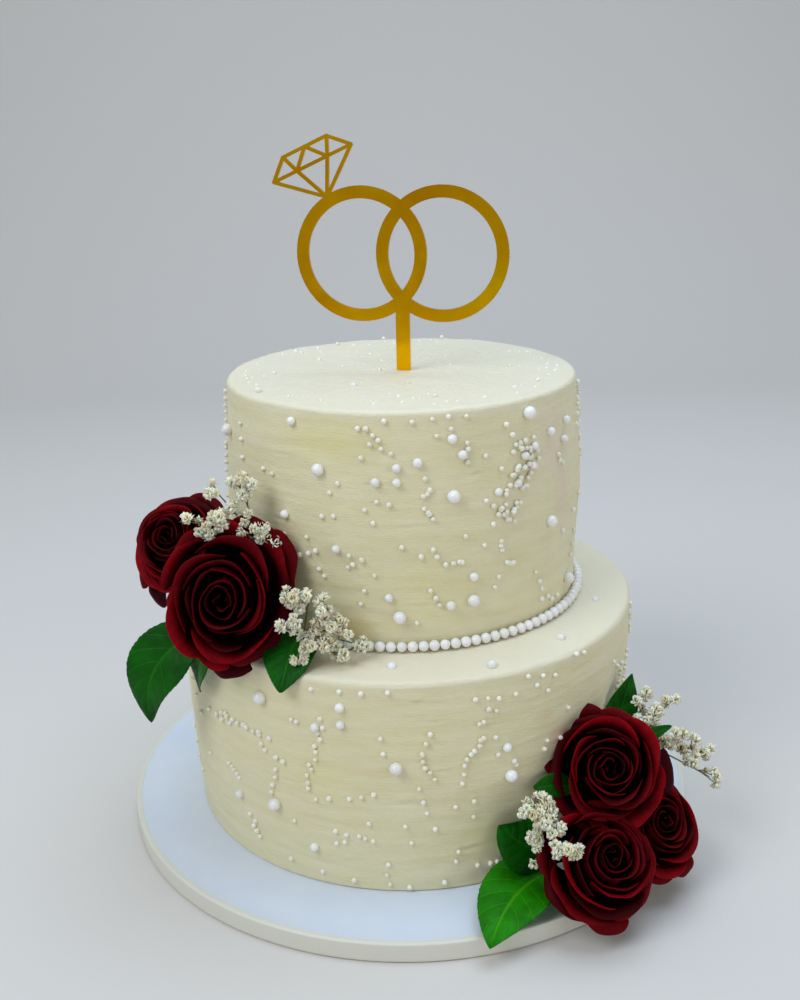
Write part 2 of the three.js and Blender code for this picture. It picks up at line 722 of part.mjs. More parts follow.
// Pearls go on where no flower, leaf or other pearl is.
function withPearls(body, pearls) {
  const kept = [];
  for (const pearl of pearls) {
    const clear = [flowers, ...kept].every((other) => other.intersect(pearl).isEmpty());
    if (clear) kept.push(pearl);
  }
  return join([body, ...kept]);
}

const lowerPearls = [
  ...pearlsOn(LOWER, [...LOWER_LARGE, ...spread(BACK_SIDE.lowerLarge, 100, 14, 88)], PEARL.large),
  ...pearlsOn(LOWER, [...LOWER_MIDDLE, ...spread(BACK_SIDE.lowerMiddle, 200, 10, 90)], PEARL.middle),
];
const upperPearls = [
  ...pearlsOn(UPPER, [...UPPER_LARGE, ...spread(BACK_SIDE.upperLarge, 300, 14, 92)], PEARL.large),
  ...pearlsOn(UPPER, [...UPPER_MIDDLE, ...spread(BACK_SIDE.upperMiddle, 400, 12, 94)], PEARL.middle),
  ...pearlsOn(UPPER, clusterPearls(), PEARL.small),
];

add("cake_board", board(), BOARD_WHITE);
add("bottom_tier", withPearls(tier(LOWER), lowerPearls), BUTTERCREAM);
add("top_tier", withPearls(tier(UPPER).subtract(placeTopper(stick(GAP))), upperPearls), BUTTERCREAM);
add("pearl_border", border(), PEARL_WHITE);
add("cake_topper", topper(), GOLD);
roses.forEach(([name, solid]) => add(name, solid, ROSE_RED));
leaves.forEach(([name, solid]) => add(name, solid, LEAF_GREEN));
bunches.forEach(([name, solid]) => add(name, solid, FLORET_CREAM));

export default cake;
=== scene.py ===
"""Two-tier buttercream wedding cake with sugar pearls, roses, gypsophila and a gold rings topper.

Metres, +Z up, front towards -Y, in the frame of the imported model.
"""
import json
import math
from math import cos, floor, pi, radians, sin

import bmesh
import bpy
import numpy as np
from bpy.props import FloatProperty, FloatVectorProperty, IntProperty, PointerProperty
from mathutils import Matrix, Vector

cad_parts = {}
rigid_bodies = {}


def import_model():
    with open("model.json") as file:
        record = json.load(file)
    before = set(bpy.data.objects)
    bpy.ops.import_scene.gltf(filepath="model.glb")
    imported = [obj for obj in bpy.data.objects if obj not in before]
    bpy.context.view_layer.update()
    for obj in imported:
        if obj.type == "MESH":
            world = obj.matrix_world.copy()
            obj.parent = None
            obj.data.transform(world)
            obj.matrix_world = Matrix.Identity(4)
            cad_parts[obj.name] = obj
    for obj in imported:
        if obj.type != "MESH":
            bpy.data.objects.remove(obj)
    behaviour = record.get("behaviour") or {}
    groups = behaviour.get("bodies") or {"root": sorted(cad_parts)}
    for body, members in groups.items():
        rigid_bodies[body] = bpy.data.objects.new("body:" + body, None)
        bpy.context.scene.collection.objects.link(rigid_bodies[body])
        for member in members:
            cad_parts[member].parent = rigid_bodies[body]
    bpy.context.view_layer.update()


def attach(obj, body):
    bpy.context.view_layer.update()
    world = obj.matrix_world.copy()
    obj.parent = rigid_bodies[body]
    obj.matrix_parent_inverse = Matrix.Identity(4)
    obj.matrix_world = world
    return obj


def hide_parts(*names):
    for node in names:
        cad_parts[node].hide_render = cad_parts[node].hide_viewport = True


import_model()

bl_info = {
    "name": "Two-Tier Pearl and Rose Wedding Cake",
    "version": (1, 0, 0),
    "blender": (4, 5, 0),
    "location": "3D View > Sidebar > Cake",
    "description": "Dresses the packed cake with icing, sugar pearls, roses, gypsophila and a topper",
    "category": "Add Mesh",
}

MM = 0.001


def srgb(code):
    """A colour from its #RRGGBB code, as the linear values that shaders take."""
    parts = [int(code[i : i + 2], 16) / 255 for i in (1, 3, 5)]
    return tuple(c / 12.92 if c <= 0.04045 else ((c + 0.055) / 1.055) ** 2.4 for c in parts) + (1.0,)


# Sizes that the frame was built from, in millimetres

BOARD = {"radius": 141.2, "height": 9.1, "edge": 0.8}
LOWER = {
    "base": 9.1, "foot": 107.2, "belly": 109.8, "rim": 109.7, "rim_height": 103, "edge": 2.6,
    "shelf": 86, "shelf_height": 104.8,
}
UPPER = {
    "base": 113.9, "foot": 82.3, "belly": 84.3, "rim": 81.4, "rim_height": 105.2, "edge": 2.2,
    "shelf": 60, "shelf_height": 106,
}
SEAM = 2.6  # the board's rim strip folds over its top by this much
SINK = 0.16  # the board's top sheet lies this much lower than its strip
GAP = 0.3  # between the border pearls and the icing
PROUD = 0.55  # how far a pearl's centre stands off the icing, over its radius

TOPPER = {
    "centre": (1.3, -5.8), "turn": -12, "ring_spacing": 37.1, "ring_height": 272.9,
    "stick_width": 6.5, "stake_depth": 15, "foot": 219.9,
}
DIAMOND = {
    "seat": 30.6, "tilt": 23.5, "girdle": 39.8, "table": 22.4, "crown": 7.9, "pavilion": 15.8,
    "facet": 7.8, "line": 1.6,
}

# Roses: centre of the head, the way it faces in degrees, outer radius, depth, height over width
ROSE_KEYS = ("centre", "azimuth", "elevation", "radius", "depth", "tall", "turn")
ROSES = {
    "rose_left_front": ((-75, -83, 141), -94, 15, 26, 30, 1.14, 20),
    "rose_left_back": ((-99, -56, 155), -112, 38, 20, 27, 1, 110),
    "rose_right_top": ((85, -96, 61), -92, 36, 23, 28, 1.04, 200),
    "rose_right_low": ((80, -119, 31), -68, 44, 23, 27, 1, 300),
    "rose_right_side": ((107, -92, 30), -62, 40, 21, 26, 1, 60),
}
ROSES = {name: dict(zip(ROSE_KEYS, row)) for name, row in ROSES.items()}
PETAL = {
    "count": 20, "solid": 5, "width": 21, "spiral": 137.5, "jitter": 24, "inner_rim": 1.6, "outer_rim": 0.94,
    "rim_share": 0.75, "lip_radius": (0.9, 2.8), "lip_sweep": (60, 130), "side_drop": 0.24,
    "inner_width": (1.7, 1.0),
    "guards": 4, "guard_open": 1.02, "across": 16, "along": 15,
}
ROOT = 0.45  # how far behind the head's centre its petals start, over its depth
# Loose outer petals: degrees round the head, how open (1 is the outermost of the head), share of the width
LOOSE = {
    "rose_left_front": ((262, 1.08, 0.7), (20, 1.06, 0.8), (42, 1.0, 0.8)),
    "rose_left_back": ((222, 1.34, 0.6), (198, 1.22, 0.6), (60, 1.05, 0.6)),
    "rose_right_top": ((350, 1.28, 0.7), (95, 1.04, 0.6)),
    "rose_right_low": ((200, 1.04, 0.8), (238, 1.03, 0.8)),
    "rose_right_side": ((345, 1.12, 0.6), (285, 1.08, 0.5)),
}
CALYX = {"depth": 4, "radius": 5, "stem": 1.8, "sepals": (84, 118, 196, 262, 330), "sepal_width": 6.5}

# Leaves: base and tip of the midrib, how its middle bows, the way the upper face looks, the width
LEAVES = {
    "leaf_left_big": ((-90, -60, 116.5), (-118, -64, 71), (-9, -4, 6), (-0.3, -0.9, 0.35), 27),
    "leaf_left_small": ((-86, -70, 116), (-95, -62, 85), (-2, -4, 2), (-0.7, -0.6, 0.2), 13),
    "leaf_left_low": ((-46, -74, 119.5), (-53, -103, 105.5), (0, -2.5, 5), (-0.2, -0.5, 0.9), 25),
    "leaf_right_bright": ((61, -101, 13), (31, -145, 9.5), (-3, 1, 5), (-0.2, -0.45, 0.9), 31),
    "leaf_right_dark": ((62, -99, 21), (38, -107, 42), (-2, -3, 0), (0.25, -0.9, 0.35), 24),
    "leaf_right_small": ((72, -92, 51), (53, -102, 57), (0, -2, 2), (0.4, -0.7, 0.6), 10),
    "leaf_right_top": ((92, -66, 48), (103, -57, 87), (-1, -2, 2), (0.3, -0.9, 0.1), 17),
    "leaf_right_thin": ((99, -82, 64), (117, -78, 71.5), (0, 0, 1), (0.1, -0.8, 0.6), 5),
}
BRIGHT_LEAVES = ("leaf_right_bright",)
LEAF = {
    "along": 64, "across": 22, "fold": 0.16, "wave": 1.1, "end": 0.8, "veins": 7, "slant": 1.6, "teeth": 26,
    "tooth": 0.035, "quilt": 0.012, "rib": 0.02, "thick": 0.42,
}

# Gypsophila: where each bunch is held, and where its twigs end
BUNCHES = {
    "gypsophila_left_top": (
        (-61, -67, 156),
        (
            (-70, -70, 188), (-80, -71, 185), (-89, -76, 172), (-79, -77, 175), (-67, -73, 173),
            (-60, -73, 163),
        ),
    ),
    "gypsophila_left_side": (
        (-44, -88, 124),
        (
            (-47, -96, 146), (-40, -93, 144), (-49, -103, 134), (-33, -94, 139), (-38, -96, 128),
            (-30, -96, 119), (-45, -97, 119), (-24, -95, 130), (-17, -94, 121),
        ),
    ),
    "gypsophila_right_back": (
        (102, -68, 60),
        (
            (110, -60, 78), (121, -60, 74), (107, -66, 70), (114, -64, 65), (121, -64, 56),
            (128, -66, 51), (139, -66, 48), (138, -70, 40),
        ),
    ),
    "gypsophila_right_front": (
        (57, -112, 38),
        (
            (54, -113, 57), (49, -115, 55), (57, -117, 50), (52, -116, 43), (60, -124, 42),
            (66, -130, 44), (53, -118, 34),
        ),
    ),
}
FLORET = {"shapes": 3, "per_twig": 4, "side_twigs": 2, "spread": 3.3, "petals": 16}
TWIG = {"foot": 0.5, "tip": 0.26, "steps": 8, "sides": 5, "sag": 0.16, "stalk": (0.26, 0.22, 0.22, 0.3, 0.5)}

# Pearls that stand out at the front: degrees round the tier, and height above its foot
LOWER_LARGE = ((-125, 88), (-123, 36), (-93, 64), (-67, 54), (-48, 64), (-67, 17))
LOWER_MIDDLE = ((-111, 80), (-105, 83), (-135, 32), (-105, 91), (-113, 19), (-68, 68))
UPPER_LARGE = ((-115, 80), (-76, 69), (-50, 99), (-41, 48), (-70, 21), (-92, 16), (-26, 13), (-161, 85))
UPPER_MIDDLE = (
    (-95, 25), (-124, 99), (-76, 93), (-86, 84), (-92, 82), (-98, 76), (-73, 86), (-110, 46), (-77, 20),
    (-40, 88), (-32, 82), (-70, 32), (-127, 58), (-92, 76), (-48, 84), (-52, 81), (-62, 68), (-55, 70),
    (-30, 90), (-49, 76),
)
# Strings of small pearls: degrees and height of the first and of the last, and how many
LOWER_STRINGS = (
    (-140, 71, -124, 69, 11), (-126, 64, -120, 59, 4), (-122, 54, -124, 42, 4), (-109, 84, -114, 49, 12),
    (-117, 81, -115, 81, 2), (-96, 77, -96, 71, 2), (-111, 44, -98, 50, 5), (-86, 79, -88, 70, 3),
    (-87, 67, -85, 58, 4), (-88, 53, -87, 41, 3), (-99, 36, -85, 33, 3), (-107, 29, -98, 27, 5),
    (-108, 23, -105, 24, 2), (-90, 26, -90, 26, 1), (-76, 93, -66, 92, 4), (-72, 88, -70, 86, 2),
    (-73, 82, -75, 81, 2), (-74, 75, -76, 68, 5), (-77, 66, -78, 55, 4), (-76, 45, -76, 37, 2),
    (-80, 43, -80, 43, 1), (-70, 74, -70, 65, 2), (-66, 60, -66, 58, 2), (-58, 65, -58, 62, 2),
    (-53, 64, -53, 53, 2), (-146, 67, -136, 67, 4), (-138, 45, -135, 41, 6), (-148, 42, -148, 42, 1),
    (-132, 23, -129, 13, 5), (-120, 9, -103, 5, 3), (-118, 30, -118, 30, 1), (-95, 14, -96, 4, 3),
    (-90, 3, -82, 4, 2), (-79, 19, -80, 15, 2), (-75, 10, -69, 10, 3), (-63, 99, -56, 96, 3),
    (-61, 94, -57, 90, 2), (-51, 77, -51, 77, 1), (-25, 79, -29, 63, 7), (-111, 97, -95, 99, 4),
    (-160, 88, -152, 60, 5), (-165, 40, -158, 22, 4), (-13, 99, -13, 84, 7), (-18, 79, -25, 62, 8),
    (-31, 84, -29, 80, 2), (-48, 101, -46, 100, 2),
)
UPPER_STRINGS = (
    (-103, 98, -101, 98, 2), (-98, 96, -97, 90, 3), (-100, 92, -94, 88, 2), (-102, 86, -102, 86, 1),
    (-136, 76, -132, 75, 2), (-109, 74, -111, 70, 2), (-97, 68, -94, 66, 2), (-101, 64, -99, 59, 2),
    (-114, 60, -111, 60, 2), (-127, 48, -120, 49, 2), (-123, 40, -116, 44, 3), (-107, 44, -102, 42, 2),
    (-105, 39, -107, 38, 2), (-99, 35, -99, 35, 1), (-116, 35, -115, 32, 2), (-102, 28, -104, 21, 2),
    (-95, 101, -88, 101, 2), (-91, 48, -91, 48, 1), (-136, 50, -136, 50, 1), (-82, 102, -71, 102, 3),
    (-81, 95, -76, 97, 2), (-71, 91, -72, 83, 4), (-65, 84, -61, 78, 2), (-58, 96, -56, 86, 3),
    (-83, 72, -84, 69, 3), (-85, 65, -82, 60, 4), (-66, 65, -66, 65, 1), (-73, 51, -67, 45, 2),
    (-82, 46, -85, 44, 2), (-81, 43, -81, 43, 1), (-78, 39, -73, 39, 5), (-61, 46, -60, 41, 3),
    (-59, 36, -57, 34, 4), (-62, 30, -63, 25, 2), (-83, 28, -81, 20, 3), (-87, 13, -87, 13, 1),
    (-47, 26, -44, 17, 3), (-43, 12, -34, 8, 4), (-16, 50, -32, 40, 3), (-20, 33, -23, 23, 3),
    (-35, 76, -33, 72, 3), (-60, 57, -57, 54, 3), (-84, 77, -84, 77, 1), (-171, 100, -171, 62, 12),
    (-150, 92, -146, 70, 4), (-9, 101, -9, 66, 12), (-15, 92, -17, 84, 3), (-52, 88, -56, 84, 4),
    (-64, 62, -60, 58, 3),
)
STRAY = (1.6, 1.4)  # how far a pearl of a string strays, in degrees and in height
CLUSTER = {"pearls": 46, "from": (-47.5, 86), "to": (-60, 56), "scatter": (4.6, 4.6)}
# Pearls half sunk in the top of the cake: x, y and size over a small pearl's
TOP_PEARLS = (
    (-59, -7, 1.3), (-21, -38, 1.6), (-10, -5, 1), (3, -34, 1.1), (51, -2, 1.2), (-62, -42, 1.2),
    (-33, 63, 1.2), (-9, 76, 1), (22, 76, 1), (38, 30, 1), (-40, 22, 1.1), (14, -60, 1), (60, -34, 1),
    (-50, 40, 1),
)
# Bits of sugar that hardly show above the top, and how deep they sit in it
TOP_LUMPS = {"count": 260, "reach": 74, "sink": 0.78, "more": 0.3}
# Pearls on the ledge: degrees and distance from the middle
LEDGE_PEARLS = ((-94, 97), (-47, 99), (-70, 103), (-20, 95), (60, 96), (140, 98))
BACK_SIDE = {"from": -10, "to": 190, "strings": 26}
# Pearls guessed for the back of each tier: how many, start of the draws, lowest and highest
LOWER_BACK = {"large": (6, 100, 14, 88), "middle": (5, 200, 10, 90)}
UPPER_BACK = {"large": (6, 300, 14, 92), "middle": (9, 400, 12, 94)}

# Small dents in the icing: degrees, height above the foot, half width, half height, depth
LOWER_NICKS = (
    (-91, 46, 5, 1.6, 0.5), (-76, 20, 3.5, 1.2, 0.5), (-88, 94, 1.4, 1, 0.8), (-83, 61, 6, 0.7, 0.3),
    (-84, 85, 5, 0.6, 0.35), (-72, 80, 7, 0.6, 0.3), (-120, 50, 6, 0.7, 0.25), (60, 60, 5, 1.2, 0.4),
    (120, 30, 6, 0.9, 0.4), (170, 75, 5, 1, 0.4), (20, 40, 4, 0.8, 0.4),
)
UPPER_NICKS = (
    (-98, 75, 6, 0.6, 0.4), (-88, 57, 8, 0.5, 0.45), (-85, 21, 8, 0.5, 0.45), (-93, 64, 7, 0.5, 0.35),
    (-128, 84, 7, 0.6, 0.3), (-69, 77, 2, 0.8, 0.5), (-130, 55, 5, 0.8, 0.3), (80, 50, 5, 0.9, 0.4),
    (150, 80, 6, 0.7, 0.4),
)

# The stage, in metres: lights with where each is, where it aims, its size, its power setting and its tone
LIGHTS = (
    ("key_light", (-0.85, -0.75, 1.25), (0, 0, 0.15), 0.9, "key_power", (0.9, 0.95, 1.0)),
    ("sky_light", (0.25, 0.15, 1.5), (0, 0, 0.1), 1.3, "sky_power", (0.62, 0.79, 1.0)),
    ("fill_light", (1.25, -1.1, 0.4), (0, 0, 0.1), 1.1, "fill_power", (1.0, 0.95, 0.9)),
)
AIR_TONE = (0.84, 0.9, 1.0, 1)
# The photograph's viewpoint: degrees, millimetres, and millimetres of lens
CAMERA = {"pitch": 18.501, "yaw": 0.217, "roll": -1.322, "place": (0, -521.5, 328.9), "lens": 40.54}


def draw(n):
    """A repeatable draw from 0 to 1 for any whole number."""
    x = sin(n * 12.9898 + 4.1) * 43758.5453
    return x - floor(x)


def lerp(a, b, t):
    return a + (b - a) * t


# Meshes


def mesh_object(name, points, faces, uvs=None, smooth=True):
    """A linked mesh object; points are in metres and uvs are one pair for each point."""
    mesh = bpy.data.meshes.new(name)
    mesh.from_pydata([tuple(p) for p in points], [], faces)
    if uvs is not None:
        corners = np.empty(len(mesh.loops), int)
        mesh.loops.foreach_get("vertex_index", corners)
        layer = mesh.uv_layers.new(name="UVMap")
        layer.data.foreach_set("uv", np.asarray(uvs, float)[corners].ravel())
    mesh.polygons.foreach_set("use_smooth", [smooth] * len(mesh.polygons))
    mesh.update()
    made = bpy.data.objects.new(name, mesh)
    bpy.context.scene.collection.objects.link(made)
    return made


def faced_outwards(made):
    """Turns the faces of a closed mesh outwards."""
    bm = bmesh.new()
    bm.from_mesh(made.data)
    bmesh.ops.recalc_face_normals(bm, faces=bm.faces)
    bm.to_mesh(made.data)
    bm.free()
    return made


def modify(made, name, kind, **settings):
    """Adds a modifier with its settings."""
    modifier = made.modifiers.new(name, kind)
    for key, value in settings.items():
        setattr(modifier, key, value)


def settle(made):
    """Turns the object's modifiers into its own plain mesh."""
    graph = bpy.context.evaluated_depsgraph_get()
    mesh = bpy.data.meshes.new_from_object(
        made.evaluated_get(graph), preserve_all_data_layers=True, depsgraph=graph
    )
    made.modifiers.clear()
    old, made.data = made.data, mesh
    bpy.data.meshes.remove(old)
    mesh.name = made.name
    return made


def dress(made, material, slot, *nodes):
    """Gives a finished piece its material, its body and the CAD nodes that it stands for; the slot is not
    used.
    """
    made.data.materials.clear()
    made.data.materials.append(material)
    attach(made, "root")
    if nodes:
        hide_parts(*nodes)
    return made


def lathe(name, profile, around):
    """A closed surface of revolution from (radius, height) pairs that start and end on the axis."""
    rings = np.array(profile[1:-1], float)
    angles = np.linspace(0, 2 * pi, around, endpoint=False)
    x = rings[:, :1] * np.cos(angles)
    y = rings[:, :1] * np.sin(angles)
    z = np.repeat(rings[:, 1:], around, 1)
    points = np.concatenate([[(0, 0, profile[0][1])], np.stack([x, y, z], -1).reshape(-1, 3)])
    points = np.concatenate([points, [(0, 0, profile[-1][1])]])
    last = len(points) - 1
    faces = []
    for j in range(around):
        k = (j + 1) % around
        faces.append((0, 1 + k, 1 + j))
        for i in range(len(rings) - 1):
            low, high = 1 + i * around, 1 + (i + 1) * around
            faces.append((low + j, low + k, high + k, high + j))
        top = last - around
        faces.append((last, top + j, top + k))
    return mesh_object(name, points, faces)


def sheet_faces(rows, columns, offset=0):
    """Quads of a grid of points whose rows follow one another."""
    faces = []
    for j in range(rows - 1):
        for i in range(columns - 1):
            a = offset + j * columns + i
            faces.append((a, a + 1, a + columns + 1, a + columns))
    return faces


def closed_sheet(front, back):
    """Points and faces of a closed leaf-like solid between two grids of the same size."""
    rows, columns = front.shape[:2]
    count = rows * columns
    points = np.concatenate([front.reshape(-1, 3), back.reshape(-1, 3)])
    faces = sheet_faces(rows, columns)
    faces += [tuple(reversed(f)) for f in sheet_faces(rows, columns, count)]
    rim = list(range(columns - 1))
    rim += [j * columns + columns - 1 for j in range(rows - 1)]
    rim += [(rows - 1) * columns + i for i in range(columns - 1, 0, -1)]
    rim += [j * columns for j in range(rows - 1, 0, -1)]
    for here, there in zip(rim, rim[1:] + rim[:1]):
        faces.append((there, here, here + count, there + count))
    return points, faces


def tube(path, radii, sides):
    """Points and faces of a closed tube along a path."""
    path = np.asarray(path, float)
    points, faces = [], []
    for i, (place, radius) in enumerate(zip(path, radii)):
        way = Vector(path[min(i + 1, len(path) - 1)] - path[max(i - 1, 0)]).normalized()
        side = way.orthogonal() if i == 0 else (side - way * side.dot(way))
        side = side.normalized()
        other = way.cross(side)
        for k in range(sides):
            turn = 2 * pi * k / sides
            points.append(Vector(place) + (side * cos(turn) + other * sin(turn)) * radius)
    for i in range(len(path) - 1):
        for k in range(sides):
            a, b = i * sides + k, i * sides + (k + 1) % sides
            faces.append((a, b, b + sides, a + sides))
    faces.append(tuple(reversed(range(sides))))
    faces.append(tuple(len(points) - sides + k for k in range(sides)))
    return [tuple(p) for p in points], faces


def bow(start, knee, end, count):
    """Points along a curve that leaves for the knee and comes in from it."""
    return [start.lerp(knee, t).lerp(knee.lerp(end, t), t) for t in np.linspace(0, 1, count)]


class Heap:
    """Gathers points, faces and uvs of many small shapes into one mesh."""

    def __init__(self):
        self.points, self.faces, self.uvs = [], [], []

    def add(self, points, faces, uvs=None):
        start = len(self.points)
        self.points.extend(tuple(p) for p in points)
        self.faces.extend(tuple(start + i for i in face) for face in faces)
        self.uvs.extend(uvs if uvs is not None else [(0.5, 0.5)] * len(points))

    def object(self, name):
        return mesh_object(name, np.array(self.points) * MM, self.faces, self.uvs)


# Node trees


class Web:
    """Adds nodes to a tree and joins them; inputs are given by name or number."""

    def __init__(self, tree):
        self.tree = tree

    def node(self, kind, inputs=None, **settings):
        made = self.tree.nodes.new(kind)
        for key, value in settings.items():
            setattr(made, key, value)
        for key, value in (inputs or {}).items():
            self.join(value, made.inputs[key])
        return made

    def join(self, value, socket):
        if isinstance(value, bpy.types.NodeSocket):
            self.tree.links.new(value, socket)
        else:
            socket.default_value = value

    def math(self, operation, a, b=0.0):
        return self.node("ShaderNodeMath", {0: a, 1: b}, operation=operation).outputs[0]

    def times(self, a, b):
        return self.math("MULTIPLY", a, b)

    def plus(self, a, b):
        return self.math("ADD", a, b)

    def minus(self, a, b):
        return self.math("SUBTRACT", a, b)

    def vector(self, operation, a, b=(0, 0, 0)):
        made = self.node("ShaderNodeVectorMath", {0: a, 1: b}, operation=operation)
        return made.outputs["Value" if operation == "LENGTH" else 0]

    def noise(self, place, scale, detail=2.0, roughness=0.5, seed=0.0):
        inputs = {"Vector": place, "Scale": scale, "Detail": detail, "Roughness": roughness, "W": seed}
        return self.node("ShaderNodeTexNoise", inputs, noise_dimensions="4D").outputs[0]

    def grain(self, place, scale, detail, roughness=0.5):
        inputs = {"Vector": place, "Scale": scale, "Detail": detail, "Roughness": roughness}
        return self.node("ShaderNodeTexNoise", inputs).outputs[0]

    def span(self, value, low, high, to_low=0.0, to_high=1.0):
        inputs = {0: value, 1: low, 2: high, 3: to_low, 4: to_high}
        return self.node("ShaderNodeMapRange", inputs).outputs[0]

    def mix(self, share, a, b):
        inputs = {0: share, 6: a, 7: b}
        return self.node("ShaderNodeMix", inputs, data_type="RGBA").outputs[2]

    def attribute(self, name, kind):
        return self.node("GeometryNodeInputNamedAttribute", {"Name": name}, data_type=kind).outputs[0]

    def chance(self, low, high, seed, kind="FLOAT"):
        """A number drawn for each point or instance."""
        first, last, out = {"FLOAT": (2, 3, 1), "INT": (4, 5, 2)}[kind]
        made = self.node("FunctionNodeRandomValue", {first: low, last: high, "Seed": seed}, data_type=kind)
        return made.outputs[out]


def new_tree(name, kind, inputs, outputs):
    """A node group with named sockets; returns it with its Web and its input and output nodes."""
    tree = bpy.data.node_groups.new(name, kind)
    for label, socket_kind, value in inputs:
        socket = tree.interface.new_socket(label, in_out="INPUT", socket_type=socket_kind)
        if value is not None:
            socket.default_value = value
    for label, socket_kind in outputs:
        tree.interface.new_socket(label, in_out="OUTPUT", socket_type=socket_kind)
    web = Web(tree)
    return tree, web, web.node("NodeGroupInput").outputs, web.node("NodeGroupOutput").inputs


GEOMETRY = "NodeSocketGeometry"
NUMBER = "NodeSocketFloat"
WHOLE = "NodeSocketInt"
VECTOR = "NodeSocketVector"
COLOUR = "NodeSocketColor"
MATERIAL = "NodeSocketMaterial"


def geometry_tree(name, inputs):
    sockets = [("Geometry", GEOMETRY, None), *inputs, ("Material", MATERIAL, None)]
    return new_tree(name, "GeometryNodeTree", sockets, [("Geometry", GEOMETRY)])


def end_tree(web, ins, outs, geometry):
    """Closes a geometry tree: instances are made real, and the material is set."""
    real = web.node("GeometryNodeRealizeInstances", {0: geometry}).outputs[0]
    smooth = web.node("GeometryNodeSetShadeSmooth", {0: real}).outputs[0]
    finished = web.node("GeometryNodeSetMaterial", {"Geometry": smooth, "Material": ins["Material"]})
    web.join(finished.outputs[0], outs[0])


def grow(made, tree, **values):
    """Runs a geometry tree on an object and keeps the result as a plain mesh."""
    modifier = made.modifiers.new(tree.name, "NODES")
    modifier.node_group = tree
    inputs = [s for s in tree.interface.items_tree if s.in_out == "INPUT"]
    sockets = {s.name.replace(" ", "_"): s.identifier for s in inputs}
    for key, value in values.items():
        modifier[sockets[key]] = value
    return settle(made)


def scraped_icing_tree():
    """Moves a smooth tier's surface as a scraper leaves it: broad bands, fine streaks and a soft wobble."""
    tree, web, ins, outs = geometry_tree(
        "Scraped Icing",
        [("Wobble", NUMBER, 0.0004), ("Band Depth", NUMBER, 0.0002), ("Streak Depth", NUMBER, 0.0001),
         ("Grain Depth", NUMBER, 0.0001), ("Foot", NUMBER, 0.0), ("Seed", NUMBER, 0.0)],
    )
    place = web.node("GeometryNodeInputPosition").outputs[0]
    normal = web.node("GeometryNodeInputNormal").outputs[0]

    def layer(size_across, size_up, detail, depth, seed_step):
        stretched = web.vector("MULTIPLY", place, (1 / size_across, 1 / size_across, 1 / size_up))
        seed = web.plus(ins["Seed"], seed_step)
        field = web.noise(stretched, 1, detail, 0.55, seed)
        return web.times(web.span(field, 0.3, 0.7, -1, 1), depth)

    wobble = layer(0.06, 0.045, 1, ins["Wobble"], 0)
    bands = layer(0.05, 0.0045, 2, ins["Band Depth"], 7)
    streaks = layer(0.016, 0.0012, 3, ins["Streak Depth"], 13)
    grain = layer(0.0045, 0.0032, 2, ins["Grain Depth"], 19)
    facing_up = web.node("ShaderNodeSeparateXYZ", {0: normal}).outputs[2]
    grain = web.times(grain, web.span(facing_up, 0.6, 0.95, 1, 3))
    patches = web.noise(place, 26, 1, 0.5, web.plus(ins["Seed"], 23))
    streaks = web.times(streaks, web.span(patches, 0.4, 0.62, 0.1, 1.1))
    lift = web.plus(web.plus(wobble, bands), web.plus(streaks, grain))
    above = web.minus(web.node("ShaderNodeSeparateXYZ", {0: place}).outputs[2], ins["Foot"])
    lift = web.times(lift, web.span(above, 0.0002, 0.0025))
    offset = web.node("ShaderNodeVectorMath", {0: normal, "Scale": lift}, operation="SCALE").outputs[0]
    moved = web.node("GeometryNodeSetPosition", {"Geometry": ins["Geometry"], "Offset": offset}).outputs[0]
    end_tree(web, ins, outs, moved)
    return tree


def tinted_instances(web, seed, inputs):
    """Puts a shape on each point, with a drawn tint that the shape's points then carry."""
    put = web.node("GeometryNodeInstanceOnPoints", inputs).outputs[0]
    named = {"Geometry": put, "Name": "tint"}
    made = web.node("GeometryNodeStoreNamedAttribute", named, data_type="FLOAT", domain="INSTANCE")
    value = next(s for s in made.inputs if s.name == "Value" and s.enabled)
    web.join(web.chance(0.0, 1.0, seed), value)
    return made.outputs[0]


def scattered_pearls_tree():
    """Puts a sugar pearl on each point, a little uneven in size and tint."""
    tree, web, ins, outs = geometry_tree(
        "Scattered Pearls",
        [("Radius", NUMBER, 0.001), ("Unevenness", NUMBER, 0.08), ("Seed", WHOLE, 0), ("Fineness", WHOLE, 2)],
    )
    ball = web.node("GeometryNodeMeshIcoSphere", {"Radius": ins["Radius"], "Subdivisions": ins["Fineness"]})
    least = web.minus(1.0, ins["Unevenness"])
    most = web.plus(1.0, ins["Unevenness"])
    size = web.chance(least, most, ins["Seed"])
    turns = {1: (2 * pi,) * 3, "Seed": ins["Seed"]}
    spun = web.node("FunctionNodeRandomValue", turns, data_type="FLOAT_VECTOR")
    inputs = {"Points": ins["Geometry"], "Instance": ball.outputs[0]}
    inputs |= {"Scale": size, "Rotation": spun.outputs[0]}
    end_tree(web, ins, outs, tinted_instances(web, web.plus(ins["Seed"], 5), inputs))
    return tree


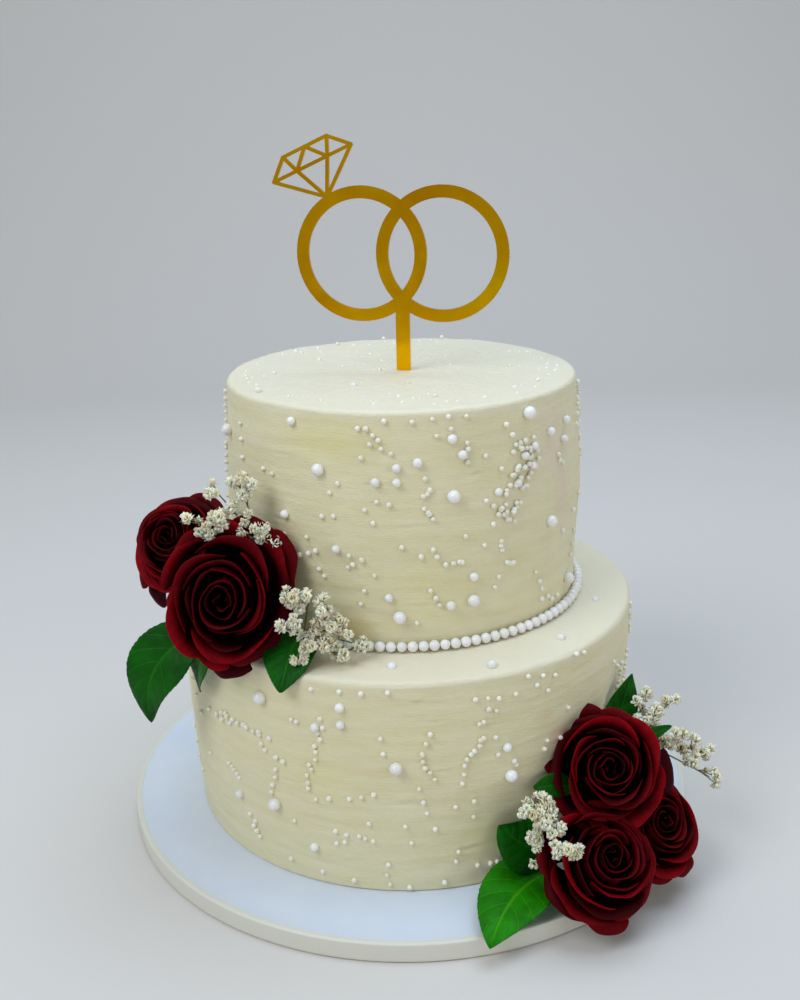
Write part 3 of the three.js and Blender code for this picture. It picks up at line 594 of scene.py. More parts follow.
def pearl_border_tree():
    """A ring of touching pearls that rest on a ledge."""
    tree, web, ins, outs = geometry_tree(
        "Pearl Border",
        [("Pearls", WHOLE, 105), ("Ring Radius", NUMBER, 0.08), ("Height", NUMBER, 0.1),
         ("Pearl Radius", NUMBER, 0.0025), ("Unevenness", NUMBER, 0.04), ("Seed", WHOLE, 0)],
    )
    ring = web.node("GeometryNodeMeshCircle", {"Vertices": ins["Pearls"], "Radius": ins["Ring Radius"]})
    ball = web.node("GeometryNodeMeshUVSphere", {"Segments": 16, "Rings": 10, "Radius": ins["Pearl Radius"]})
    least = web.minus(1.0, ins["Unevenness"])
    size = web.chance(least, 1.02, ins["Seed"])
    inputs = {"Points": ring.outputs[0], "Instance": ball.outputs[0], "Scale": size}
    tinted = tinted_instances(web, web.plus(ins["Seed"], 5), inputs)
    up = web.node("ShaderNodeCombineXYZ", {2: ins["Height"]}).outputs[0]
    lifted = web.node("GeometryNodeTransform", {"Geometry": tinted, "Translation": up})
    end_tree(web, ins, outs, lifted.outputs[0])
    return tree


def gypsophila_tree():
    """Puts one of the floret shapes on each point, turned the way that the point faces."""
    tree, web, ins, outs = geometry_tree(
        "Gypsophila Florets",
        [("Florets", "NodeSocketCollection", None), ("Radius", NUMBER, 0.003), ("Seed", WHOLE, 0)],
    )
    shapes = web.node(
        "GeometryNodeCollectionInfo",
        {"Collection": ins["Florets"], "Separate Children": True, "Reset Children": True},
    ).outputs[0]
    facing = web.attribute("facing", "FLOAT_VECTOR")
    size = web.attribute("size", "FLOAT")
    turned = web.node("FunctionNodeAlignRotationToVector", {"Vector": facing}, axis="Z").outputs[0]
    which = web.chance(0, FLORET["shapes"] - 1, ins["Seed"], "INT")
    inputs = {
        "Points": ins["Geometry"], "Instance": shapes, "Pick Instance": True, "Instance Index": which,
        "Rotation": turned, "Scale": web.times(size, ins["Radius"]),
    }
    end_tree(web, ins, outs, tinted_instances(web, ins["Seed"], inputs))
    return tree


# Shader groups


def shader_group(name, inputs, outputs):
    return new_tree(name, "ShaderNodeTree", inputs, outputs)


def mottle_group():
    """Two tones in soft patches of a given size in metres."""
    tree, web, ins, outs = shader_group(
        "Mottle",
        [("Vector", VECTOR, None), ("Light", COLOUR, None), ("Dark", COLOUR, None), ("Patch", NUMBER, 0.01),
         ("Contrast", NUMBER, 0.5)],
        [("Color", COLOUR), ("Mask", NUMBER)],
    )
    scale = web.math("DIVIDE", 1.0, ins["Patch"])
    field = web.grain(ins["Vector"], scale, 3.0, 0.6)
    half = web.times(web.minus(1.0, ins["Contrast"]), 0.3)
    low = web.minus(0.5, web.plus(half, 0.05))
    high = web.plus(0.5, web.plus(half, 0.05))
    mask = web.span(field, low, high)
    web.join(web.mix(mask, ins["Dark"], ins["Light"]), outs["Color"])
    web.join(mask, outs["Mask"])
    return tree


def relief_group():
    """Fine relief: a stretched grain with pores, for bump and roughness."""
    tree, web, ins, outs = shader_group(
        "Fine Relief",
        [("Vector", VECTOR, None), ("Grain", NUMBER, 0.001), ("Stretch", VECTOR, (1, 1, 1)),
         ("Pores", NUMBER, 0.3)],
        [("Height", NUMBER)],
    )
    scale = web.math("DIVIDE", 1.0, ins["Grain"])
    place = web.vector("MULTIPLY", ins["Vector"], ins["Stretch"])
    grain = web.grain(place, scale, 4.0, 0.6)
    pits = web.node("ShaderNodeTexVoronoi", {"Vector": ins["Vector"], "Scale": scale}).outputs[0]
    pits = web.times(web.span(pits, 0.0, 0.35, -1.0, 0.0), ins["Pores"])
    web.join(web.plus(grain, pits), outs["Height"])
    return tree


def soft_patch_group():
    """A soft-edged patch round a centre, ragged by noise."""
    tree, web, ins, outs = shader_group(
        "Smudge",
        [("Vector", VECTOR, None), ("Centre", VECTOR, (0, 0, 0)), ("Reach", VECTOR, (0.01, 0.01, 0.01))],
        [("Mask", NUMBER)],
    )
    away = web.vector("DIVIDE", web.vector("SUBTRACT", ins["Vector"], ins["Centre"]), ins["Reach"])
    ragged = web.grain(ins["Vector"], 140.0, 3.0)
    distance = web.plus(web.vector("LENGTH", away), web.times(ragged, 0.7))
    web.join(web.span(distance, 1.35, 0.35), outs["Mask"])
    return tree


def leaf_group():
    """Midrib and side veins of a leaf from its UV map: a mask and a height."""
    tree, web, ins, outs = shader_group(
        "Leaf Veins",
        [("UV", VECTOR, None), ("Veins", NUMBER, 7.0), ("Slant", NUMBER, 1.6)],
        [("Mask", NUMBER), ("Height", NUMBER)],
    )
    parts = web.node("ShaderNodeSeparateXYZ", {0: ins["UV"]}).outputs
    across = web.math("ABSOLUTE", web.minus(web.times(parts[0], 2.0), 1.0))
    along = web.times(parts[1], ins["Veins"])
    slanted = web.minus(along, web.times(across, ins["Slant"]))
    nearest = web.math("ABSOLUTE", web.minus(web.math("FRACT", slanted), 0.5))
    midrib = web.span(across, 0.07, 0.02)
    net = web.node(
        "ShaderNodeTexVoronoi", {"Vector": ins["UV"], "Scale": 34.0}, feature="DISTANCE_TO_EDGE"
    ).outputs[0]
    fine = web.span(net, 0.09, 0.0)
    mask = web.math("MAXIMUM", midrib, web.times(web.span(nearest, 0.44, 0.5), 0.75))
    mask = web.math("MAXIMUM", mask, web.times(fine, 0.28))
    web.join(mask, outs["Mask"])
    web.join(web.minus(1.0, mask), outs["Height"])
    return tree


def petal_group():
    """Petal colouring from its UV map, whose whole part is the petal's number: paler towards the rim, with
    painted shade towards each petal's base and on the inner petals.
    """
    tree, web, ins, outs = shader_group(
        "Petal Shading",
        [("UV", VECTOR, None), ("Deep", COLOUR, None), ("Rim", COLOUR, None), ("Rim Start", NUMBER, 0.6)],
        [("Color", COLOUR), ("Vein Height", NUMBER)],
    )
    parts = web.node("ShaderNodeSeparateXYZ", {0: ins["UV"]}).outputs
    number = web.math("FLOOR", parts[0])
    chance = web.node("ShaderNodeTexWhiteNoise", {"W": number}, noise_dimensions="1D").outputs[0]
    fan = web.node("ShaderNodeCombineXYZ", {0: web.times(parts[0], 26.0), 1: parts[1]}).outputs[0]
    veins = web.grain(fan, 1.6, 3.0)
    patch = web.grain(ins["UV"], 2.6, 2.0)
    height = web.plus(parts[1], web.times(web.minus(patch, 0.5), 0.5))
    # Painted shade: below the rim the petal takes the deep colour, darker towards its base in the rose's
    # depths
    rim = web.span(height, ins["Rim Start"], 1.12)
    rim = web.times(rim, web.span(chance, 0.0, 1.0, 0.15, 1.1))
    # Painted shade: the inner petals, deep in the rose, take less of the rim colour
    rim = web.times(rim, web.span(number, 4.0, 20.0, 0.3, 1.0))
    rim = web.times(rim, web.span(veins, 0.3, 0.7, 0.7, 1.1))
    web.join(web.mix(rim, ins["Deep"], ins["Rim"]), outs["Color"])
    web.join(veins, outs["Vein Height"])
    return tree


# Materials


class Paint:
    """One material: its Web, its Principled shader and the surface's own coordinates."""

    def __init__(self, name, **settings):
        self.material = bpy.data.materials.new(name)
        self.material.use_nodes = True
        tree = self.material.node_tree
        tree.nodes.clear()
        self.web = Web(tree)
        self.shader = self.web.node("ShaderNodeBsdfPrincipled")
        for label, value in settings.items():
            self.shader.inputs[label.replace("_", " ")].default_value = value
        out = self.web.node("ShaderNodeOutputMaterial")
        tree.links.new(self.shader.outputs[0], out.inputs["Surface"])
        coordinates = self.web.node("ShaderNodeTexCoord")
        self.place = coordinates.outputs["Object"]
        self.uv = coordinates.outputs["UV"]

    def group(self, name, **inputs):
        made = self.web.node("ShaderNodeGroup", node_tree=bpy.data.node_groups[name])
        for label, value in inputs.items():
            self.web.join(value, made.inputs[label.replace("_", " ")])
        return made.outputs

    def set(self, **inputs):
        for label, value in inputs.items():
            self.web.join(value, self.shader.inputs[label.replace("_", " ")])
        return self.material

    def bump(self, height, distance, strength=1.0):
        made = self.web.node("ShaderNodeBump", {"Height": height, "Distance": distance, "Strength": strength})
        self.web.join(made.outputs[0], self.shader.inputs["Normal"])


def tint_of(paint):
    return paint.web.node("ShaderNodeAttribute", attribute_name="tint").outputs["Fac"]


def board_paper(colour, shade, strip):
    """White paper over the top, and a warmer strip of it round the rim that folds over by a little."""
    paint = Paint("board_paper", Coat_Weight=0.08, Coat_Roughness=0.35, Specular_IOR_Level=0.35)
    web = paint.web
    tones = paint.group("Mottle", Vector=paint.place, Light=colour, Dark=shade, Patch=0.045, Contrast=0.3)
    flat = web.vector("MULTIPLY", paint.place, (1, 1, 0))
    fold = (BOARD["radius"] - SEAM) * MM
    on_strip = web.span(web.vector("LENGTH", flat), fold - 0.1 * MM, fold + 0.1 * MM)
    painted = web.mix(on_strip, tones["Color"], strip)
    weave = web.node("ShaderNodeTexVoronoi", {"Vector": paint.place, "Scale": 520.0}).outputs[0]
    relief = paint.group("Fine Relief", Vector=paint.place, Grain=0.0016, Pores=0.2)["Height"]
    paint.bump(web.plus(web.times(weave, 0.5), relief), 0.00012, 0.5)
    return paint.set(Base_Color=painted, Roughness=web.span(relief, 0.2, 0.8, 0.42, 0.62))


# Tinted patches on the icing, among them one of painted shade with yellow bounce light from the leaf beside
# it
TINTS_AND_PAINTED_SHADE = (
    # colour, tier, degrees, height above the foot, reach across and up, share
    ("#E9A9A4", LOWER, -53, 63, 9, 9, 0.55),
    ("#DDBE84", LOWER, -58, 77, 7, 4, 0.45),
    ("#D9C489", LOWER, -97, 61, 15, 3, 0.5),
    ("#D5C36E", LOWER, -53, 40, 9, 10, 0.4),
    # Painted shade with yellow bounce light from the leaf beside it
    ("#D8C46C", UPPER, -108, 9, 16, 9, 0.6),
    ("#E0BFB6", UPPER, -33, 58, 10, 26, 0.35),
    ("#DDB8A4", UPPER, -127, 50, 10, 10, 0.3),
    ("#E2D68E", UPPER, -112, 92, 30, 12, 0.6),
    ("#E2D796", UPPER, -82, 30, 26, 18, 0.4),
    ("#E6CFC4", UPPER, -38, 84, 16, 22, 0.45),
    ("#E2D798", LOWER, -72, 22, 26, 14, 0.45),
    ("#E4D99A", LOWER, -112, 56, 22, 16, 0.45),
    ("#E4D9A2", LOWER, -90, 74, 26, 10, 0.4),
)


def buttercream(name, colour, shade, painted_top_light, tier):
    paint = Paint(
        name, Subsurface_Weight=0.18, Subsurface_Radius=(1.0, 0.75, 0.45), Subsurface_Scale=0.0035,
        Specular_IOR_Level=0.38,
    )
    web = paint.web
    stretched = web.vector("MULTIPLY", paint.place, (1, 1, 5))
    tones = paint.group("Mottle", Vector=stretched, Light=colour, Dark=shade, Patch=0.03, Contrast=0.2)
    painted = tones["Color"]
    # Tinted patches, among them painted shade with bounce light from a leaf, low on the upper tier's left
    for code, where, degrees, height, across, up, share in TINTS_AND_PAINTED_SHADE:
        if where is not tier:
            continue
        angle, reach = radians(degrees), side_radius(tier, height)
        centre = Vector((cos(angle) * reach, sin(angle) * reach, tier["base"] + height)) * MM
        size = (across * MM, across * MM, up * MM)
        mask = paint.group("Smudge", Vector=paint.place, Centre=centre, Reach=size)["Mask"]
        painted = web.mix(web.times(mask, share), painted, srgb(code))
    # Painted light: the top and the upper 5 mm of the side are mixed towards a paler, bluer tone, for the
    # light that falls on them from above
    top = (tier["base"] + tier["rim_height"]) * MM
    height = web.node("ShaderNodeSeparateXYZ", {0: paint.place}).outputs[2]
    painted = web.mix(web.span(height, top - 5 * MM, top, 0, 0.85), painted, painted_top_light)
    streaks = {"Grain": 0.004, "Stretch": (1, 1, 7), "Pores": 0.05}
    fine = paint.group("Fine Relief", Vector=paint.place, **streaks)["Height"]
    pores = paint.group("Fine Relief", Vector=paint.place, Grain=0.0011, Pores=0.6)["Height"]
    paint.bump(web.plus(fine, web.times(pores, 0.22)), 0.00035, 0.75)
    return paint.set(Base_Color=painted, Roughness=web.span(fine, 0.25, 0.75, 0.4, 0.62))


def sugar_pearl(name, colour, shade):
    paint = Paint(
        name, Coat_Weight=0.35, Coat_Roughness=0.12, Subsurface_Weight=0.15, Subsurface_Scale=0.001,
        Specular_IOR_Level=0.6,
    )
    web = paint.web
    tones = web.mix(tint_of(paint), shade, colour)
    clouds = web.noise(paint.place, 900, 2)
    painted = web.mix(web.span(clouds, 0.35, 0.75, 0.0, 0.35), tones, shade)
    paint.bump(web.noise(paint.place, 1600, 2), 0.00005, 0.6)
    return paint.set(Base_Color=painted, Roughness=web.span(clouds, 0.3, 0.7, 0.2, 0.38))


def gold_mirror(colour, shade):
    paint = Paint("gold_mirror", Metallic=1.0)
    web = paint.web
    # Painted reflection: soft random patches of a deeper gold stand in for the uneven reflections of the
    # mirror
    tones = paint.group("Mottle", Vector=paint.place, Light=colour, Dark=shade, Patch=0.045, Contrast=0.4)
    smear = web.noise(paint.place, 110, 3)
    paint.bump(web.noise(paint.place, 60, 1), 0.0003, 0.12)
    return paint.set(Base_Color=tones["Color"], Roughness=web.span(smear, 0.35, 0.7, 0.07, 0.2))


def rose_velvet(deep, rim):
    paint = Paint(
        "rose_velvet", Sheen_Weight=0.04, Sheen_Roughness=0.4, Sheen_Tint=srgb("#A00820"),
        Specular_IOR_Level=0.05,
    )
    web = paint.web
    # The deep colour is the petals' own dark red with painted shade of the rose's depths
    shading = paint.group("Petal Shading", UV=paint.uv, Deep=deep, Rim=rim, Rim_Start=0.62)
    nap = web.noise(paint.place, 2600, 2)
    paint.bump(web.plus(shading["Vein Height"], web.times(nap, 0.3)), 0.00025, 0.6)
    return paint.set(Base_Color=shading["Color"], Roughness=web.span(nap, 0.3, 0.7, 0.48, 0.64))


def leaf_green(name, light, dark, vein, gloss):
    paint = Paint(name, Specular_IOR_Level=0.1, Coat_Weight=gloss, Coat_Roughness=0.3)
    web = paint.web
    tones = paint.group("Mottle", Vector=paint.place, Light=light, Dark=dark, Patch=0.012, Contrast=0.35)
    veins = paint.group("Leaf Veins", UV=paint.uv, Veins=float(LEAF["veins"]), Slant=LEAF["slant"])
    painted = web.mix(web.times(veins["Mask"], 0.5), tones["Color"], vein)
    cells = web.noise(paint.place, 1500, 2)
    paint.bump(web.plus(veins["Height"], web.times(cells, 0.3)), 0.0003, 0.6)
    return paint.set(Base_Color=painted, Roughness=web.span(cells, 0.3, 0.7, 0.32, 0.5))


def stalk_green(name, light, dark):
    paint = Paint(name, Specular_IOR_Level=0.35)
    web = paint.web
    tones = paint.group("Mottle", Vector=paint.place, Light=light, Dark=dark, Patch=0.004, Contrast=0.5)
    relief = paint.group("Fine Relief", Vector=paint.place, Grain=0.0008, Pores=0.3)["Height"]
    paint.bump(relief, 0.0001, 0.6)
    return paint.set(Base_Color=tones["Color"], Roughness=web.span(relief, 0.2, 0.8, 0.5, 0.7))


def gypsophila_cream(colour, shade):
    paint = Paint(
        "gypsophila_cream", Subsurface_Weight=0.4, Subsurface_Scale=0.0015, Sheen_Weight=0.1,
        Specular_IOR_Level=0.25,
    )
    web = paint.web
    tones = web.mix(web.span(tint_of(paint), 0.4, 1.0, 0.0, 0.5), colour, shade)
    spots = web.noise(paint.place, 700, 3)
    painted = web.mix(web.span(spots, 0.55, 0.75, 0.0, 0.25), tones, shade)
    paint.bump(spots, 0.0001, 0.4)
    return paint.set(Base_Color=painted, Roughness=web.span(spots, 0.3, 0.7, 0.6, 0.8))


def studio_wall(colour, shade):
    paint = Paint("studio_wall", Specular_IOR_Level=0.1)
    tones = paint.group("Mottle", Vector=paint.place, Light=colour, Dark=shade, Patch=0.5, Contrast=0.1)
    grain = paint.web.noise(paint.place, 220, 2)
    return paint.set(Base_Color=tones["Color"], Roughness=paint.web.span(grain, 0.3, 0.7, 0.85, 0.95))


# Shapes of the pieces


def side_radius(tier, height):
    half = tier["rim_height"] / 2
    if height < half:
        return lerp(tier["foot"], tier["belly"], height / half)
    return lerp(tier["belly"], tier["rim"], min(1, (height - half) / (half - tier["edge"])))


def tier_profile(tier, rows, crown_rings, flat_rings):
    """(radius, height) pairs of a tier: flat foot, gently bulging side, rounded rim and a crowned ledge."""
    base, edge, rim = tier["base"], tier["edge"], tier["rim"]
    side_top = tier["rim_height"] - edge
    profile = [(0, base), (tier["foot"] * 0.6, base), (tier["foot"] - 0.5, base)]
    profile += [(side_radius(tier, h), base + max(h, 0.4)) for h in np.linspace(0, side_top, rows)]
    for i in range(1, 9):
        turn = pi / 2 * i / 8
        profile.append((rim - edge + edge * cos(turn), base + side_top + edge * sin(turn)))
    for i in range(1, crown_rings + 1):
        share = i / crown_rings
        height = lerp(tier["rim_height"], tier["shelf_height"], 1 - (1 - share) ** 1.5)
        profile.append((lerp(rim - edge, tier["shelf"], share), base + height))
    top = base + tier["shelf_height"]
    profile += [(tier["shelf"] * (1 - i / flat_rings), top) for i in range(1, flat_rings)]
    return [(r * MM, z * MM) for r, z in profile + [(0, top)]]


def cut_nicks(made, tier, nicks):
    """Presses small dents into a tier's side, each with a raised lip above it."""
    mesh = made.data
    co = np.empty(len(mesh.vertices) * 3)
    mesh.vertices.foreach_get("co", co)
    co = co.reshape(-1, 3) / MM
    reach = np.hypot(co[:, 0], co[:, 1])
    angle = np.arctan2(co[:, 1], co[:, 0])
    on_side = reach > tier["shelf"]
    for degrees, height, half_width, half_height, depth in nicks:
        across = (angle - radians(degrees) + pi) % (2 * pi) - pi
        x = across * tier["rim"] / half_width
        y = (co[:, 2] - tier["base"] - height - 0.15 * half_height * np.sin(3 * x)) / half_height
        dent = np.exp(-(x**2) - y**2) - 0.6 * np.exp(-(x**2) - (y - 1.6) ** 2)
        move = -depth * dent * on_side / np.maximum(reach, 1)
        co[:, 0] += co[:, 0] * move
        co[:, 1] += co[:, 1] * move
    mesh.vertices.foreach_set("co", (co * MM).ravel())
    mesh.update()


def place_on_side(tier, degrees, height, radius):
    reach = side_radius(tier, height) + radius * PROUD
    return (cos(radians(degrees)) * reach, sin(radians(degrees)) * reach, tier["base"] + height)


def spread(count, seed, lowest, highest):
    """Places for the part of a side that the front list leaves out."""
    for i in range(count):
        share = (i + 0.2 + 0.6 * draw(seed + i)) / count
        yield lerp(BACK_SIDE["from"], BACK_SIDE["to"], share), lerp(lowest, highest, draw(seed + 50 + i))


def string_places(strings, seed):
    """Places of small pearls along each string, a little off the straight line."""
    for n, (turn, low, last_turn, high, count) in enumerate(strings):
        for i in range(count):
            share = i / max(1, count - 1)
            aside, up = STRAY if count > 1 else (0, 0)
            sway = (draw(seed + 31 * n + i) - 0.5) * aside
            rise = (draw(seed + 57 * n + i + 9) - 0.5) * up
            yield lerp(turn, last_turn, share) + sway, lerp(low, high, share) + rise


def back_strings(seed):
    """Strings of small pearls for the back, as uneven as those at the front."""
    made = []
    for i in range(BACK_SIDE["strings"]):
        degrees = lerp(BACK_SIDE["from"], BACK_SIDE["to"], (i + draw(seed + i)) / BACK_SIDE["strings"])
        height = lerp(8, 94, draw(seed + 100 + i))
        count = 1 + int(7 * draw(seed + 200 + i) ** 1.6)
        lean, rise = (draw(seed + 300 + i) - 0.5) * 3 * count, (draw(seed + 400 + i) - 0.5) * 6 * count
        made.append((degrees, height, degrees + lean, min(97, max(4, height + rise)), count))
    return tuple(made)


def rose_frame(rose):
    a, e = radians(rose["azimuth"]), radians(rose["elevation"])
    face = Vector((cos(e) * cos(a), cos(e) * sin(a), sin(e)))
    right = Vector((0, 0, 1)).cross(face).normalized()
    up = face.cross(right)
    root = Vector(rose["centre"]) - face * ROOT * rose["depth"]
    turned = Matrix((right, up, face)).transposed().to_4x4()
    turned.translation = root
    return turned


def moved(points, matrix):
    points = np.asarray(points, float).reshape(-1, 3)
    m = np.array(matrix)
    return points @ m[:3, :3].T + m[:3, 3]


def uneven(seed, amount):
    return 1 + amount * (draw(seed) - 0.5)


def petal_sheet(rose, k, loose=None):
    """Grid of one petal's points in the rose's own frame: it cups up to its rim, and its lip rolls back."""
    t = loose[1] if loose else min(1, k / (PETAL["count"] - 1))
    inner = k < PETAL["count"] - PETAL["solid"]
    n = k + rose["turn"] if inner else k
    radius, depth = rose["radius"], rose["depth"]
    rim = lerp(PETAL["inner_rim"], PETAL["outer_rim"] * radius, t**1.05) * uneven(n + 80, 0.14)
    height = depth * (0.86 + 0.5 * t - 0.95 * t * t) * uneven(n + 120, 0.12)
    belly = rim * lerp(1.12, 0.86, t) + 1
    lip = lerp(*PETAL["lip_radius"], t)
    lip_start = math.atan2(rim - belly, 0.2 * height)
    lip_sweep = radians(lerp(*PETAL["lip_sweep"], t))
    middle = radians(PETAL["spiral"] * k + PETAL["jitter"] * (draw(n) - 0.5) + rose["turn"])
    phase = draw(n + 40) * 2 * pi
    half_width = min(PETAL["width"], rim * lerp(*PETAL["inner_width"], t)) if inner else PETAL["width"]
    ripple, flatness, tucked = (lerp(0.03, 0.05, t), 0.11, 0.15) if inner else (0.045 * t, 0.04, 0.09)
    if loose:
        middle, half_width = radians(loose[0]), half_width * loose[2]
    s, v = np.meshgrid(np.linspace(0, 1, PETAL["across"] + 1), np.linspace(0, 1, PETAL["along"] + 1) ** 0.8)
    u = 2 * s - 1
    w = v * (1 - PETAL["side_drop"] * np.abs(u) ** 2.4)
    q = np.minimum(1, w / PETAL["rim_share"])
    p = 1 - q
    cup = 2 * p**3 + 3.3 * p * p * q * belly + 3 * p * q * q * belly + q**3 * rim
    lift = height * (0.3 * p * p * q + 2.4 * p * q * q + q**3)
    rolled = np.maximum(0, (w - PETAL["rim_share"]) / (1 - PETAL["rim_share"]))
    curl = 0.62 + 0.6 * np.abs(u) ** 1.3 + 0.25 * np.sin(2.6 * u + 2 * phase)
    bend = lip_start + lip_sweep * rolled * curl
    wave = ripple * radius * w**3 * np.sin(3.4 * u + phase)
    frill = 0.016 * radius * t * rolled * np.sin(9 * u + 3 * phase)
    tuck = tucked * rim * u + flatness * rim * (u * u - 0.4) * w
    point = 0.06 * radius * t * rolled * np.exp(-((u / 0.22) ** 2))
    reach = cup + lip * (cos(lip_start) - np.cos(bend)) + wave + tuck + frill + point
    rise = lift + lip * (np.sin(bend) - sin(lip_start)) + 0.6 * wave - frill
    spreading = 0.35 + 0.65 * np.sin(pi / 2 * np.minimum(1, 1.2 * w))
    angle = middle + half_width * spreading * u / max(rim, 5)
    grid = np.stack([reach * np.cos(angle), reach * np.sin(angle) * rose["tall"], rise], -1)
    return grid, np.stack([s * 0.98 + 0.01 + k, v], -1)


def sheet_object(name, grids, matrix, thickness, levels):
    """Thin sheets given a thickness and a subdivided surface, as one object."""
    heap = Heap()
    for grid, uvs in grids:
        rows, columns = grid.shape[:2]
        heap.add(moved(grid, matrix), sheet_faces(rows, columns), uvs.reshape(-1, 2))
    made = heap.object(name)
    modify(made, "Thickness", "SOLIDIFY", thickness=thickness * MM, offset=-1, use_even_offset=False)
    modify(made, "Smooth", "SUBSURF", levels=levels, render_levels=levels)
    return settle(made)


def sepal_grid(rose, degrees, n):
    """One sepal: it lies along the head's underside and its tip curls out."""
    rows, columns = 12, 6
    along, across = np.meshgrid(np.linspace(0, 1, rows), np.linspace(-1, 1, columns), indexing="ij")
    length = 0.95 + 0.25 * draw(n)
    radius = CALYX["radius"] + (rose["radius"] * 0.98 * length - CALYX["radius"]) * along
    height = rose["depth"] * (-0.12 + 0.24 * along**2) - 6 * np.maximum(0, along - 0.8)
    half = CALYX["sepal_width"] / 2 * np.sin(pi * (0.12 + 0.88 * along) ** 0.8) + 0.25
    angle = radians(degrees) + across * half / np.maximum(radius, 4)
    x, y = radius * np.cos(angle), radius * np.sin(angle) * rose["tall"]
    grid = np.stack([x, y, height + 0.12 * half * across**2], -1)
    return grid, np.stack([(across + 1) / 2, along], -1)


def leaf_grids(base, tip, bow, face, width, seed):
    """Front and back grids of a leaf with a folded midrib, quilted veins and a toothed edge."""
    start, end, bow, face = (np.array(v, float) for v in (base, tip, bow, face))
    control = (start + end) / 2 + 2 * bow
    phase = draw(seed) * 2 * pi
    t = np.linspace(0, 1, LEAF["along"] + 1)[:, None]
    middle = (1 - t) ** 2 * start + 2 * t * (1 - t) * control + t**2 * end
    way = 2 * (1 - t) * (control - start) + 2 * t * (end - control)
    way /= np.linalg.norm(way, axis=1, keepdims=True)
    side = np.cross(way, face)
    side /= np.linalg.norm(side, axis=1, keepdims=True)
    normal = np.cross(side, way)
    u = np.linspace(-1, 1, LEAF["across"] + 1)[None, :]
    saw = (t * LEAF["teeth"]) % 1
    half = width / 2 * np.sin(pi * t**0.8) ** 0.85 * (1 - LEAF["tooth"] * saw) + LEAF["end"] / 2
    lift = LEAF["fold"] * half * np.abs(u) + LEAF["wave"] * (width / 25) * u * u * np.sin(9 * t + phase + u)
    slanted = t * LEAF["veins"] - np.abs(u) * LEAF["slant"]
    nearest = np.abs(slanted % 1 - 0.5)
    furrow = 1 - np.exp(-((0.5 - nearest) / 0.13) ** 2)
    quilt = LEAF["quilt"] * width * furrow * np.sin(pi * np.abs(u)) ** 0.5
    rib = LEAF["rib"] * width * np.exp(-((u / 0.06) ** 2)) * (1 - 0.7 * t)
    flat = middle[:, None, :] + side[:, None, :] * (half * u)[:, :, None]
    front = flat + normal[:, None, :] * (lift + quilt - 0.4 * rib)[:, :, None]
    thick = LEAF["thick"] + rib
    back = flat + normal[:, None, :] * (lift + quilt * 0.7 - thick)[:, :, None]
    uv = np.stack([np.broadcast_to((u + 1) / 2, front.shape[:2]), np.broadcast_to(t, front.shape[:2])], -1)
    return front, back, uv


def crumpled_floret(n):
    """One floret shape of unit radius: small cupped petals round a centre."""
    heap = Heap()
    rows = columns = 3
    for i in range(FLORET["petals"]):
        share = (i + 0.5) / FLORET["petals"]
        lean = math.acos(1 - 1.55 * share)
        turn = i * 2.399963 + draw(n * 50 + i) * 0.7
        out = Vector((sin(lean) * cos(turn), sin(lean) * sin(turn), cos(lean)))
        side = Vector((0, 0, 1)).cross(out)
        side = (side if side.length > 0.1 else Vector((1, 0, 0))).normalized()
        up = out.cross(side)
        width = 0.38 + 0.14 * draw(n * 50 + i + 20)
        front = np.empty((rows, columns, 3))
        for j in range(rows):
            for k in range(columns):
                along, across = j / (rows - 1), 2 * k / (columns - 1) - 1
                reach = 0.3 + 0.7 * along
                bend = 0.3 * along * along * (draw(n * 90 + i * 7) - 0.3) * 2
                flare = width * (0.35 + 0.9 * along * (1.4 - along))
                cup = -0.22 * across * across * along + 0.1 * (draw(n + i * 11 + j * 3 + k) - 0.5)
                place = out * (reach + cup) + side * across * flare + up * bend
                front[j, k] = place
        centre = front.mean((0, 1))
        back = front - np.array(out)[None, None, :] * 0.16 + (centre - front) * 0.12
        points, faces = closed_sheet(front, back)
        heap.add(points, faces)
    made = mesh_object(f"floret_shape_{n}", heap.points, heap.faces)
    return faced_outwards(made)


def plate_bar(start, end, width):
    """Outline of a straight bar of the topper, with its ends run a little past the points."""
    (x1, y1), (x2, y2) = start, end
    length = math.hypot(x2 - x1, y2 - y1)
    nx, ny = (y1 - y2) / length * width / 2, (x2 - x1) / length * width / 2
    ex, ey = (x2 - x1) / length * width / 4, (y2 - y1) / length * width / 4
    first = [(x1 - ex + nx, y1 - ey + ny), (x1 - ex - nx, y1 - ey - ny)]
    return first + [(x2 + ex - nx, y2 + ey - ny), (x2 + ex + nx, y2 + ey + ny)]


def plate(outline, hole, depth):
    """Points and faces of a flat plate in the XZ plane, from an outline and a hole of as many points."""
    count = len(outline)
    points, faces = [], []
    for y in (-depth / 2, depth / 2):
        points += [(x, y, z) for x, z in outline]
        points += [(x, y, z) for x, z in hole]
    step = count + len(hole)
    for i in range(count):
        j = (i + 1) % count
        faces.append((i, j, step + j, step + i))
        if hole:
            faces.append((count + j, count + i, step + count + i, step + count + j))
            faces.append((j, i, count + i, count + j))
            faces.append((step + i, step + j, step + count + j, step + count + i))
    if not hole:
        faces.append(tuple(reversed(range(count))))
        faces.append(tuple(step + i for i in range(count)))
    return points, faces


